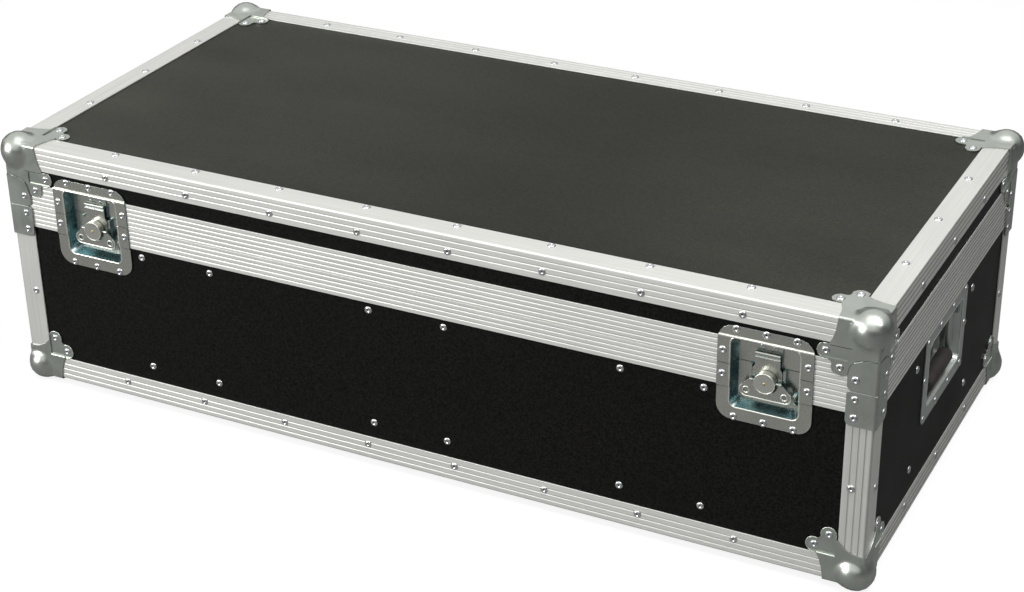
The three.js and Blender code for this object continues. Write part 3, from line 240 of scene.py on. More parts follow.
def turned(builder, profile, sides, place, axis, material_of=None):
    """Adds a turned form: profile is radius and height from the top's middle to the foot's middle."""
    spin = axis.to_track_quat("Z", "Y").to_matrix()
    rings = []
    for radius, height in profile:
        turns = turns_round(sides if radius else 1)
        ring = [Vector((radius * math.cos(turn), radius * math.sin(turn), height)) for turn in turns]
        rings.append([builder.verts.new(place + spin @ point) for point in ring])
    for index, (upper, lower) in enumerate(zip(rings, rings[1:])):
        for step in range(sides):
            after = (step + 1) % sides
            quad = (
                upper[step % len(upper)],
                lower[step % len(lower)],
                lower[after % len(lower)],
                upper[after % len(upper)],
            )
            face = builder.faces.new(list(dict.fromkeys(quad)))
            face.material_index = material_of(index) if material_of else 0


def swept(builder, points, out, radius, closed=False):
    """Adds a round bead along a line of points that lies in the plane across the outward direction."""
    rings = []
    last = len(points) - 1
    for index, point in enumerate(points):
        before = points[index - 1] if closed or index else point
        after = points[(index + 1) % len(points)] if closed or index < last else point
        side = (after - before).cross(out).normalized()
        spokes = [side * math.cos(turn) + out * math.sin(turn) for turn in turns_round(BEAD_SIDES)]
        rings.append([builder.verts.new(point + spoke * radius) for spoke in spokes])
    pairs = list(zip(rings, rings[1:])) + ([(rings[-1], rings[0])] if closed else [])
    for near, far in pairs:
        for step in range(BEAD_SIDES):
            onward = (step + 1) % BEAD_SIDES
            builder.faces.new((near[step], near[onward], far[onward], far[step]))
    if not closed:
        for ring in (rings[0], rings[-1]):
            builder.faces.new(ring)


def arc(centre, radius, start, end, steps=6):
    """Flat points on an arc, in degrees."""
    turns = [math.radians(start + (end - start) * step / steps) for step in range(steps + 1)]
    return [(centre[0] + radius * math.cos(turn), centre[1] + radius * math.sin(turn)) for turn in turns]


def circle(centre, radius, sides):
    """Flat points all round a circle."""
    return arc(centre, radius, 0, 360, sides)[:-1]


def finished(name, builder, materials, body, sharp_from=60):
    """Turns a mesh of beads or rivets into a piece that rides on a body."""
    bmesh.ops.recalc_face_normals(builder, faces=builder.faces)
    mark_smooth(builder, sharp_from)
    piece = from_bmesh(name, builder, materials)
    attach(piece, body)


def surface_of(body):
    """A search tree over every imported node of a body, as it stands at rest."""
    builder = bmesh.new()
    for node in frame["record"]["behaviour"]["bodies"][body]:
        builder.from_mesh(NODES[node].data)
    tree = BVHTree.FromBMesh(builder)
    builder.free()
    return tree


SURFACES = {body: surface_of(body) for body in ("base", "lid")}


def looked_at(body, start, outward):
    """What a look into a body from outside meets, and how far away. Nothing is met where it misses."""
    hit, _, _, distance = SURFACES[body].ray_cast(start, -outward, 2 * PROBE_HEIGHT)
    return hit, distance


def seat(body, place, outward, spread):
    """Where a head of that spread comes to lie on a body, looking in from outside."""
    side = outward.orthogonal().normalized() * spread
    across = outward.cross(side)
    start = place + outward * PROBE_HEIGHT
    looks = [looked_at(body, start + offset, outward) for offset in (Vector(), side, -side, across, -across)]
    distances = [distance for hit, distance in looks if hit is not None]
    if not distances:
        raise RuntimeError(f"no surface of {body} lies under {tuple(place)}")
    return start - outward * min(distances)


def laid(body, places, outward, sink):
    """The same line laid on a body's surface from outside, then sunk by that much."""
    line = []
    for place in places:
        hit, _ = looked_at(body, place + outward * PROBE_HEIGHT, outward)
        if hit is None:
            raise RuntimeError(f"no surface of {body} lies under {tuple(place)}")
        line.append(hit - outward * sink)
    return line


def corners(part):
    """Every corner of the lid or the base: its ways out along X and Y, and a map to a place
    from how far in it lies from the end, from the side, and from the top or the foot."""
    corner_z, up = ENDS[part]
    for x_side in BOTH:
        for y_side in BOTH:
            def at(x, y, z, x_side=x_side, y_side=y_side):
                return Vector((x_side * (HALF_X - x), y_side * (HALF_Y - y), corner_z - up * z))

            yield x_side * X, y_side * Y, at


def corner_faces(part):
    """Every upright face of those corners, as its way out and a map from (along, down, proud)."""
    for x_out, y_out, at in corners(part):
        yield y_out, lambda along, down, proud, at=at: at(along, -proud, down)
        yield x_out, lambda along, down, proud, at=at: at(-proud, along, down)


# Finishes


class Wiring:
    """A tree of shader nodes, with short ways to add to it."""

    def __init__(self, tree):
        self.tree = tree

    def feed(self, socket, value):
        """Links a socket to another, or gives it a plain value."""
        if isinstance(value, bpy.types.NodeSocket):
            self.tree.links.new(value, socket)
        else:
            socket.default_value = value

    def node(self, kind, inputs=None, **settings):
        made = self.tree.nodes.new(kind)
        for key, value in settings.items():
            setattr(made, key, value)
        for key, value in (inputs or {}).items():
            self.feed(made.inputs[key], value)
        return made

    def split(self, vector):
        """A vector's X, Y and Z."""
        return self.node("ShaderNodeSeparateXYZ", {0: vector}).outputs

    def ranged(self, value, first, second):
        """A value of the first range moved into the second, and held at that one's ends."""
        limits = dict(zip(("From Min", "From Max", "To Min", "To Max"), (*first, *second)))
        return self.node("ShaderNodeMapRange", {"Value": value, **limits}).outputs[0]

    def math(self, operation, first, second=0.0):
        return self.node("ShaderNodeMath", {0: first, 1: second}, operation=operation).outputs[0]

    def plus(self, first, second, share):
        """The first value, and that share of the second."""
        return self.math("ADD", first, self.math("MULTIPLY", second, share))

    def vector(self, operation, first, second=None, scale=None):
        given = {0: first, 1: second, "Scale": scale}
        inputs = {key: value for key, value in given.items() if value is not None}
        made = self.node("ShaderNodeVectorMath", inputs, operation=operation)
        return made.outputs["Value" if operation in ("LENGTH", "DOT_PRODUCT") else "Vector"]

    def mixed(self, share, first, second):
        """One tone that gives way to another as the share grows from 0 to 1."""
        made = self.node("ShaderNodeMix", {0: share}, data_type="RGBA")
        for key, tone in ((6, first), (7, second)):
            self.feed(made.inputs[key], tone if isinstance(tone, bpy.types.NodeSocket) else (*tone, 1))
        return made.outputs[2]


class Finish(Wiring):
    """A material on the Principled shader."""

    def __init__(self, name):
        self.material = bpy.data.materials.new(name)
        self.material.use_nodes = True
        super().__init__(self.material.node_tree)
        self.shader = self.tree.nodes["Principled BSDF"]
        self.place = self.node("ShaderNodeTexCoord").outputs["Object"]
        self.normal = None

    def moved(self, direction, start, end):
        """A direction in one space as the same in another."""
        settings = {"vector_type": "NORMAL", "convert_from": start, "convert_to": end}
        return self.node("ShaderNodeVectorTransform", {0: direction}, **settings).outputs[0]

    def facing(self):
        """Which way the flat face looks, in the piece's own space, as X, Y and Z."""
        flat = self.node("ShaderNodeNewGeometry").outputs["True Normal"]
        return self.split(self.moved(flat, "WORLD", "OBJECT"))

    def stretched(self, axis, along, across):
        """The piece's own space with one scale along an axis and another across it."""
        scale = [across] * 3
        scale[axis] = along
        return self.node("ShaderNodeMapping", {"Vector": self.place, "Scale": scale}).outputs[0]

    def noise(self, scale, detail=3, vector=None, roughness=0.55, distortion=0):
        """Cloudy noise with about that many clouds to a metre."""
        inputs = {
            "Vector": vector or self.place,
            "Scale": scale,
            "Detail": detail,
            "Roughness": roughness,
            "Distortion": distortion,
        }
        return self.node("ShaderNodeTexNoise", inputs).outputs["Fac"]

    def bump(self, height, depth, strength):
        """Fine relief, over the finish's own normal where it has one."""
        made = self.node("ShaderNodeBump", {"Height": height, "Distance": depth, "Strength": strength})
        if self.normal:
            self.feed(made.inputs["Normal"], self.normal)
        self.feed(self.shader.inputs["Normal"], made.outputs[0])

    def set(self, **values):
        """Feeds the shader's inputs. Their names have a space where a key has an underscore."""
        for key, value in values.items():
            self.feed(self.shader.inputs[key.replace("_", " ")], value)


def shade(base, factor):
    return tuple(min(1, channel * factor) for channel in base)


def groove_painted_shade(finish, tone, base, amount, on_end):
    """Painted shade on the grooves' faces that look down. On the ends the faces that look up get painted
    shade too;
    on the front and the back they get a painted highlight."""
    rise = finish.facing()[2]

    def sloped(gentle, full, level, near_level):
        """1 on faces that lean by enough, and 0 on upright and on level ones."""
        leans = finish.ranged(rise, (gentle, full), (0, 1))
        return finish.math("MULTIPLY", leans, finish.ranged(rise, (level, near_level), (0, 1)))

    # Masks for the painted shade and highlight: faces that lean down, and faces that lean up
    under = sloped(-0.08, -0.25, -0.95, -0.8)
    over = sloped(0.15, 0.4, 0.95, 0.8)
    tone = finish.mixed(finish.math("MULTIPLY", under, amount), tone, shade(base, 0.22))
    painted_upper_flank = finish.mixed(on_end, shade(base, 1.15), shade(base, 0.2))
    return finish.mixed(finish.math("MULTIPLY", over, amount), tone, painted_upper_flank)


def post_painted_shade(finish, tone, base, amount):
    """Painted shade on the posts' faces that look slantwise, which are the flanks of their grooves."""
    facing = finish.facing()
    slant = finish.math("ABSOLUTE", finish.math("MULTIPLY", facing[0], facing[1]))
    return finish.mixed(finish.ranged(slant, (0.08, 0.25), (0, amount)), tone, shade(base, 0.3))


def die_lines(finish, axis):
    """The fine lines that the die leaves along an axis."""
    along, across = 14, 2600
    return finish.noise(scale=1, detail=2, vector=finish.stretched(axis, along, across))


def clouded(finish, tone, base):
    clouds = finish.noise(scale=11, detail=4)
    return finish.mixed(finish.ranged(clouds, (0.35, 0.7), (0, 0.35)), tone, shade(base, 0.86))


def satin(finish, lines, tone, metal):
    """What every drawn length shares: clouding, roughness and the die lines' relief."""
    rough = finish.ranged(finish.math("ADD", lines, finish.noise(scale=9, detail=4)), (0.7, 1.3), (0.36, 0.5))
    finish.set(Base_Color=tone, Roughness=rough, Metallic=metal)
    finish.bump(lines, 0.02 * MM, strength=0.6)
    return finish.material


def drawn_aluminium(name, base, axis, metal, groove_shade):
    """Satin extruded aluminium: die lines along the length, faint clouding, a few rubbed spots."""
    finish = Finish(name)
    streaks = finish.noise(scale=1, detail=3, vector=finish.stretched(axis, along=5, across=420))
    specks = finish.ranged(finish.noise(scale=520, detail=2), (0.68, 0.78), (0, 1))
    tone = finish.mixed(finish.ranged(streaks, (0.3, 0.7), (0, 1)), shade(base, 0.89), shade(base, 1.03))
    tone = clouded(finish, tone, base)
    tone = finish.mixed(finish.math("MULTIPLY", specks, 0.25), tone, shade(base, 0.6))
    # Painted shade in the grooves, and on the front and the back a painted highlight on their faces that look
    # up
    if axis == 2:
        tone = post_painted_shade(finish, tone, base, groove_shade)
    else:
        tone = groove_painted_shade(finish, tone, base, groove_shade, on_end=axis)
    return satin(finish, die_lines(finish, axis), tone, metal)


def ring_aluminium(name, base, metal):
    """The same on a rail that runs round the case: the die lines turn at the mitres, and the
    grooves get more painted shade on the ends than on the front and the back."""
    finish = Finish(name)
    place = finish.split(finish.place)
    from_end = finish.math("SUBTRACT", HALF_X, finish.math("ABSOLUTE", place[0]))
    from_side = finish.math("SUBTRACT", HALF_Y, finish.math("ABSOLUTE", place[1]))
    on_end = finish.math("LESS_THAN", from_end, from_side)
    both_ways = {0: on_end, 2: die_lines(finish, 0), 3: die_lines(finish, 1)}
    lines = finish.node("ShaderNodeMix", both_ways).outputs[0]
    tone = finish.mixed(finish.ranged(lines, (0.3, 0.7), (0, 1)), shade(base, 0.92), shade(base, 1.03))
    tone = clouded(finish, tone, base)
    tone = groove_painted_shade(finish, tone, base, finish.ranged(on_end, (0, 1), (0.3, 0.85)), on_end)
    return satin(finish, lines, tone, metal)


def pressed_normal(finish, corner_z, up):
    """The true normal of a ball corner: of a ball that flows into three plates with rounded edges.
    It holds where the mesh agrees with it, so the cut edges keep their own."""
    inset, ball_radius, crest, fillet = 12 * MM, 22 * MM, 3 * MM, 4 * MM
    least_agreement = 0.8
    signs = finish.vector("SIGN", finish.place)
    level_signs = finish.vector("MULTIPLY", signs, (-1, -1, 0))
    back = finish.vector("ADD", level_signs, (0, 0, -up))
    inward = finish.vector("MULTIPLY", finish.vector("SUBTRACT", finish.place, (0, 0, corner_z)), back)
    inward = finish.vector("ADD", inward, (HALF_X, HALF_Y, 0))
    from_ball = finish.vector("SUBTRACT", inward, (inset, inset, inset))
    room = crest - PLATE_FACE
    from_plates = finish.vector("MAXIMUM", finish.vector("SUBTRACT", (room, room, room), inward), (0, 0, 0))
    ball = finish.math("SUBTRACT", finish.vector("LENGTH", from_ball), ball_radius)
    plates = finish.math("SUBTRACT", finish.vector("LENGTH", from_plates), crest)
    on_ball = finish.ranged(finish.math("SUBTRACT", ball, plates), (-fillet, fillet), (1, 0))
    ball_part = finish.vector("SCALE", finish.vector("NORMALIZE", from_ball), scale=on_ball)
    plate_share = finish.math("SUBTRACT", on_ball, 1.0)
    plate_part = finish.vector("SCALE", finish.vector("NORMALIZE", from_plates), scale=plate_share)
    out = finish.vector("MULTIPLY", finish.vector("ADD", ball_part, plate_part), back)
    true = finish.vector("NORMALIZE", finish.moved(out, "OBJECT", "WORLD"))
    own = finish.node("ShaderNodeNewGeometry").outputs
    agreement = finish.vector("DOT_PRODUCT", true, own["True Normal"])
    agrees = finish.math("GREATER_THAN", agreement, least_agreement)
    chosen = finish.node("ShaderNodeMix", {0: agrees, 4: own["Normal"], 5: true}, data_type="VECTOR")
    finish.normal = chosen.outputs[1]


def plated_zinc(name, base, tint, rough, pressed=None, walls=None):
    """Zinc plate on pressed steel: soft clouding, a tint that comes and goes, rubbed spots."""
    finish = Finish(name)
    if pressed:
        pressed_normal(finish, *pressed)
    clouds = finish.noise(scale=38, detail=5, distortion=0.6)
    grain = finish.noise(scale=900, detail=3)
    drawn_up = finish.stretched(2, along=0.25, across=1)
    scuffs = finish.noise(scale=150, detail=6, vector=drawn_up, roughness=0.75)
    scuffs = finish.ranged(scuffs, (0.6, 0.74), (0, 1))
    tone = finish.mixed(finish.ranged(clouds, (0.35, 0.65), (0, 1)), base, tint)
    tone = finish.mixed(finish.math("MULTIPLY", scuffs, 0.22), tone, shade(base, 0.62))
    # Painted reflection: upright faces take the walls' reflected tone
    if walls:
        upright = finish.ranged(finish.math("ABSOLUTE", finish.facing()[1]), (0.35, 0.75), (1, 0))
        tone = finish.mixed(upright, tone, walls)
    gloss = finish.ranged(finish.plus(clouds, grain, 0.5), (0.5, 1.0), rough)
    finish.set(Base_Color=tone, Roughness=gloss, Metallic=0.95)
    finish.bump(finish.plus(grain, clouds, 0.6), 0.03 * MM, strength=0.5)
    return finish.material


def film_faced_board(name, base):
    """Phenolic film on birch plywood: fine orange peel, speckle and dust specks, and on what faces up
    a paler tone, partly dust and partly painted sheen, thinnest a little right of the middle."""
    finish = Finish(name)
    dust_tone, dust_and_sheen_tone = (0.09, 0.09, 0.085), (0.066, 0.069, 0.055)
    thinnest_at, thinnest_within, fullest_beyond = 100 * MM, 50 * MM, 600 * MM
    peel = finish.noise(scale=780, detail=3)
    mesh = finish.noise(scale=2100, detail=2)
    speckle = finish.noise(scale=330, detail=4, roughness=0.7)
    clouds = finish.noise(scale=5, detail=5, vector=finish.stretched(0, along=0.6, across=1.4))
    dust = finish.ranged(finish.noise(scale=1300, detail=1), (0.7, 0.76), (0, 1))
    tone = finish.mixed(finish.ranged(speckle, (0.35, 0.65), (0, 1)), shade(base, 0.2), shade(base, 2.6))
    tone = finish.mixed(finish.math("MULTIPLY", dust, 0.3), tone, dust_tone)
    # Painted sheen, partly dust: upward faces grow paler, least near one place across X
    aside = finish.math("ABSOLUTE", finish.math("SUBTRACT", finish.split(finish.place)[0], thinnest_at))
    dust_and_sheen_across = finish.ranged(aside, (thinnest_within, fullest_beyond), (0.62, 1.25))
    dust_and_sheen = finish.ranged(finish.plus(clouds, speckle, 0.6), (0.5, 1.1), (0.25, 0.8))
    dust_and_sheen = finish.math("MULTIPLY", dust_and_sheen, dust_and_sheen_across)
    up = finish.ranged(finish.facing()[2], (0.5, 0.9), (0, 1))
    tone = finish.mixed(finish.math("MULTIPLY", up, dust_and_sheen), tone, dust_and_sheen_tone)
    rough = finish.ranged(finish.plus(clouds, mesh, 0.5), (0.5, 1.0), (0.42, 0.55))
    finish.set(Base_Color=tone, Roughness=rough, IOR=1.18)
    finish.bump(finish.plus(peel, mesh, 0.5), 0.2 * MM, strength=0.8)
    return finish.material


def moulded_rubber(name, base):
    finish = Finish(name)
    grain = finish.noise(scale=1500, detail=3)
    wear = finish.noise(scale=60, detail=4)
    tone = finish.mixed(finish.ranged(wear, (0.4, 0.7), (0, 1)), base, shade(base, 1.9))
    finish.set(Base_Color=tone, Roughness=finish.ranged(wear, (0.3, 0.7), (0.55, 0.72)), IOR=1.4)
    finish.bump(grain, 0.05 * MM, strength=0.5)
    return finish.material


def cell_foam(name, base):
    """Closed-cell foam, sawn: cells of about a millimetre cut open, with slightly darker pores."""
    finish = Finish(name)

    def cells(scale):
        made = finish.node("ShaderNodeTexVoronoi", {"Vector": finish.place, "Scale": scale})
        return made.outputs["Distance"]

    fine, coarse = cells(900), cells(380)
    clouds = finish.noise(scale=14, detail=4)
    tone = finish.mixed(finish.ranged(fine, (0.1, 0.7), (0, 1)), shade(base, 0.6), shade(base, 1.25))
    tone = finish.mixed(finish.ranged(clouds, (0.35, 0.7), (0, 0.5)), tone, shade(base, 1.7))
    finish.set(Base_Color=tone, Roughness=0.9, IOR=1.3)
    finish.bump(finish.math("ADD", fine, coarse), 0.35 * MM, strength=0.7)
    return finish.material


def grained(name, base, metal):
    """A small plain part: fine grain in its tone and its gloss."""
    finish = Finish(name)
    grain = finish.noise(scale=1800, detail=3)
    finish.set(
        Base_Color=finish.mixed(grain, shade(base, 0.7), shade(base, 1.3)),
        Roughness=finish.ranged(grain, (0.3, 0.7), (0.35, 0.55)),
        Metallic=metal,
    )
    return finish.material


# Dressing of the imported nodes


def facet_softener():
    """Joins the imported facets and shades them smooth, but for edges sharper than the angle."""
    joined_within = 0.005 * MM
    group = bpy.data.node_groups.new("soften_facets", "GeometryNodeTree")
    group.interface.new_socket("Geometry", in_out="INPUT", socket_type="NodeSocketGeometry")
    turn = group.interface.new_socket("Angle", in_out="INPUT", socket_type="NodeSocketFloat")
    turn.default_value = math.radians(SMOOTH_TURN)
    group.interface.new_socket("Geometry", in_out="OUTPUT", socket_type="NodeSocketGeometry")
    add = group.nodes.new
    entry, leave = add("NodeGroupInput"), add("NodeGroupOutput")
    bare = add("GeometryNodeRemoveAttribute")
    bare.inputs["Name"].default_value = "custom_normal"
    merge = add("GeometryNodeMergeByDistance")
    merge.inputs["Distance"].default_value = joined_within
    smooth = add("GeometryNodeSetShadeSmooth")
    smooth.domain = "FACE"
    crease = add("GeometryNodeSetShadeSmooth")
    crease.domain = "EDGE"
    crease.inputs["Shade Smooth"].default_value = False
    angle = add("GeometryNodeInputMeshEdgeAngle")
    sharper = add("FunctionNodeCompare")
    sharper.operation = "GREATER_THAN"
    link = group.links.new
    link(entry.outputs[0], bare.inputs["Geometry"])
    link(bare.outputs[0], merge.inputs["Geometry"])
    link(merge.outputs[0], smooth.inputs["Geometry"])
    link(smooth.outputs[0], crease.inputs["Geometry"])
    link(angle.outputs["Unsigned Angle"], sharper.inputs[0])
    link(entry.outputs[1], sharper.inputs[1])
    link(sharper.outputs[0], crease.inputs["Selection"])
    link(crease.outputs[0], leave.inputs[0])
    return group


def dress(node, material, edge_round=0.0, angle=SMOOTH_TURN):
    """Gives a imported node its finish, smooth shading and softened edges. Its own mesh stays as it is."""
    piece = NODES[node]
    flat_within, bevel_margin = 1, 8
    for material_slot in piece.material_slots:
        material_slot.material = material
    group = bpy.data.node_groups.get("soften_facets") or facet_softener()
    soften = piece.modifiers.new("soften_facets", "NODES")
    soften.node_group = group
    angle_key = [item.identifier for item in group.interface.items_tree if item.name == "Angle"][0]
    soften[angle_key] = math.radians(angle)
    if edge_round:
        flats = piece.modifiers.new("join_flats", "DECIMATE")
        flats.decimate_type = "DISSOLVE"
        flats.angle_limit = math.radians(flat_within)
        bevel = piece.modifiers.new("soften_edges", "BEVEL")
        bevel.width = edge_round
        bevel.segments = 2
        bevel.limit_method = "ANGLE"
        bevel.angle_limit = math.radians(angle + bevel_margin)
        bevel.use_clamp_overlap = True
        level = piece.modifiers.new("even_normals", "WEIGHTED_NORMAL")
        level.keep_sharp = True


def named(*starts):
    found = [node for node in NODES if node.startswith(starts)]
    if not found:
        raise RuntimeError(f"the packed model has no node that starts with {starts}")
    return found


class CaseOperator:
    """What every operator here shares."""

    bl_options = {"REGISTER", "UNDO"}

    @property
    def sizes(self):
        return bpy.context.scene.flight_case_sizes

    @property
    def colours(self):
        return bpy.context.scene.flight_case_colours

    @property
    def lip_sink(self):
        """How far the middle of a recess's lip lies under the face round it."""
        return self.sizes.lip * 0.45

    def dress_plates(self, starts, material, angle=30):
        """Dresses the pressed plates whose names have those starts."""
        for node in named(*starts):
            dress(node, material, self.sizes.sheet_round, angle)


class FLIGHTCASE_OT_extrusions(CaseOperator, bpy.types.Operator):
    """Finish the edge extrusions, the posts and the closure rails in drawn aluminium"""

    bl_idname = "flightcase.extrusions"
    bl_label = "Extrusions"

    def execute(self, context):
        base = tuple(self.colours.aluminium)
        sharp_turn = 20
        long_edges = [f"{part}_edge_{side}" for part in ENDS for side in ("front", "back")]
        short_edges = [f"{part}_edge_{side}" for part in ENDS for side in ("left", "right")]
        front_rails = [f"{part}_front_rail" for part in ENDS]
        # What runs along X, Y and Z, how metallic it looks, and how much painted shade its grooves get
        runs = (
            (long_edges + front_rails, 0.4, 0.3),
            (short_edges, 0.45, 0.85),
            (["corner_post_"], 0.65, 0.4),
        )
        for axis, (starts, metal, groove_shade) in enumerate(runs):
            drawn = drawn_aluminium(f"aluminium_drawn_{'xyz'[axis]}", base, axis, metal, groove_shade)
            for node in named(*starts):
                dress(node, drawn, self.sizes.edge_round, sharp_turn)
        ring = ring_aluminium("aluminium_ring", base, metal=0.4)
        for node in named("base_closure_rail", "lid_closure_rail"):
            dress(node, ring, self.sizes.edge_round, sharp_turn)
        return {"FINISHED"}


class FLIGHTCASE_OT_boards(CaseOperator, bpy.types.Operator):
    """Finish the plywood boards in black film"""

    bl_idname = "flightcase.boards"
    bl_label = "Boards"

    def execute(self, context):
        film = film_faced_board("film_faced_board", tuple(self.colours.board_film))
        panels = [f"{side}_panel" for side in ("top", "bottom", "front", "back", "left", "right")]
        for node in named("lid_walls", *panels):
            dress(node, film)
        return {"FINISHED"}


class FLIGHTCASE_OT_corners(CaseOperator, bpy.types.Operator):
    """Finish the ball corners and braces in zinc plate, with painted highlights on their bends and lobe rims
    and painted shadow lines at their overlaps
    """

    bl_idname = "flightcase.corners"
    bl_label = "Corners"

    def execute(self, context):
        base = tuple(self.colours.corner_zinc)
        tint, rough = shade(base, 1.12), (0.26, 0.38)
        plain = plated_zinc("corner_zinc", base, tint, rough)
        self.dress_plates(["corner_brace_"], plain)
        # A lighter copy of the corner zinc: painted highlight on the lobe rims and the lower corners' bends
        bright = plated_zinc("corner_edge_highlight_zinc", shade(base, 1.6), shade(base, 1.8), rough=(0.24, 0.34))
        for part, end in ENDS.items():
            zinc = plated_zinc(f"corner_zinc_{part}", base, tint, rough, pressed=end)
            self.dress_plates([f"{part}_ball_corner_"], zinc)
        # Painted shadow lines at the overlaps and steps
        self.lid_shadow_lines(grained("seam_painted_shadow", tuple(self.colours.seam), metal=0.2))
        self.base_bends(bright)
        for part in ("lid", "base"):
            self.lobe_rims(part, bright)
        return {"FINISHED"}

    def lobe_rims(self, part, material):
        """The turned edge round the two lobes of each plate of the ball corners. On the lid the
        brace cuts the upright lobe's rim short."""
        builder = bmesh.new()
        lobe, rim = 9 * MM, 0.45 * MM
        upright_end = {"lid": 100, "base": 190}[part]
        level = arc((LOBE_FAR, LOBE_NEAR), lobe, start=-100, end=112, steps=10)
        upright = arc((LOBE_NEAR, LOBE_FAR), lobe, start=-22, end=upright_end, steps=10)
        for out, at in corner_faces(part):
            for line in (level, upright):
                edge = laid(part, [at(along, down, 0) for along, down in line], out, sink=rim * 0.3)
                swept(builder, edge, out, rim)
        finished(f"{part}_lobe_rims", builder, [material], part)

    def overlap_arch(self):
        """How far along and down the line runs on which a lid corner laps over its brace: a cubic
        curve that leaves the case's edge level and ends upright."""
        width, head, shoulder = 31 * MM, 41.5 * MM, 62 * MM
        steps = 10
        arch = []
        for step in range(steps + 1):
            share = step / steps
            rest = 1 - share
            along = width * (1.5 * share * rest * rest + 3 * share * share * rest + share**3)
            arch.append((along, head + (shoulder - head) * share**3))
        return arch

    def lid_shadow_lines(self, material):
        """Painted shadow lines where the ball corner laps over its brace and steps down on to the boards."""
        builder = bmesh.new()
        side_start, side_end, top_end = 28 * MM, 51 * MM, 49 * MM
        for out, at in corner_faces("lid"):
            arch = [at(along, down, PLATE_FACE) for along, down in self.overlap_arch()]
            swept(builder, arch, out, self.sizes.seam)
            ledge = laid("lid", [at(along, STEP, 0) for along in (side_start, side_end)], out, sink=0)
            swept(builder, ledge, out, self.sizes.seam * 1.3)
        for _, _, at in corners("lid"):
            for end in ((STEP, top_end), (top_end, STEP)):
                ledge = [at(*place, BOARD_STEP - PLATE_FACE) for place in ((STEP, STEP), end)]
                swept(builder, ledge, Z, self.sizes.seam)
        finished("corner_shadow_lines", builder, [material], "lid")

    def base_bends(self, material):
        """The bend where a lower corner steps out from the boards on to the extrusions, bright as a painted
        highlight.
        """
        builder = bmesh.new()
        above_step, reach = 0.3 * MM, 52 * MM
        proud = PLATE_FACE - self.sizes.lip * 0.5
        for out, at in corner_faces("base"):
            bend = [at(along, STEP - above_step, proud) for along in (STEP, reach)]
            swept(builder, bend, out, self.sizes.lip * 1.3)
        finished("corner_bends", builder, [material], "base")


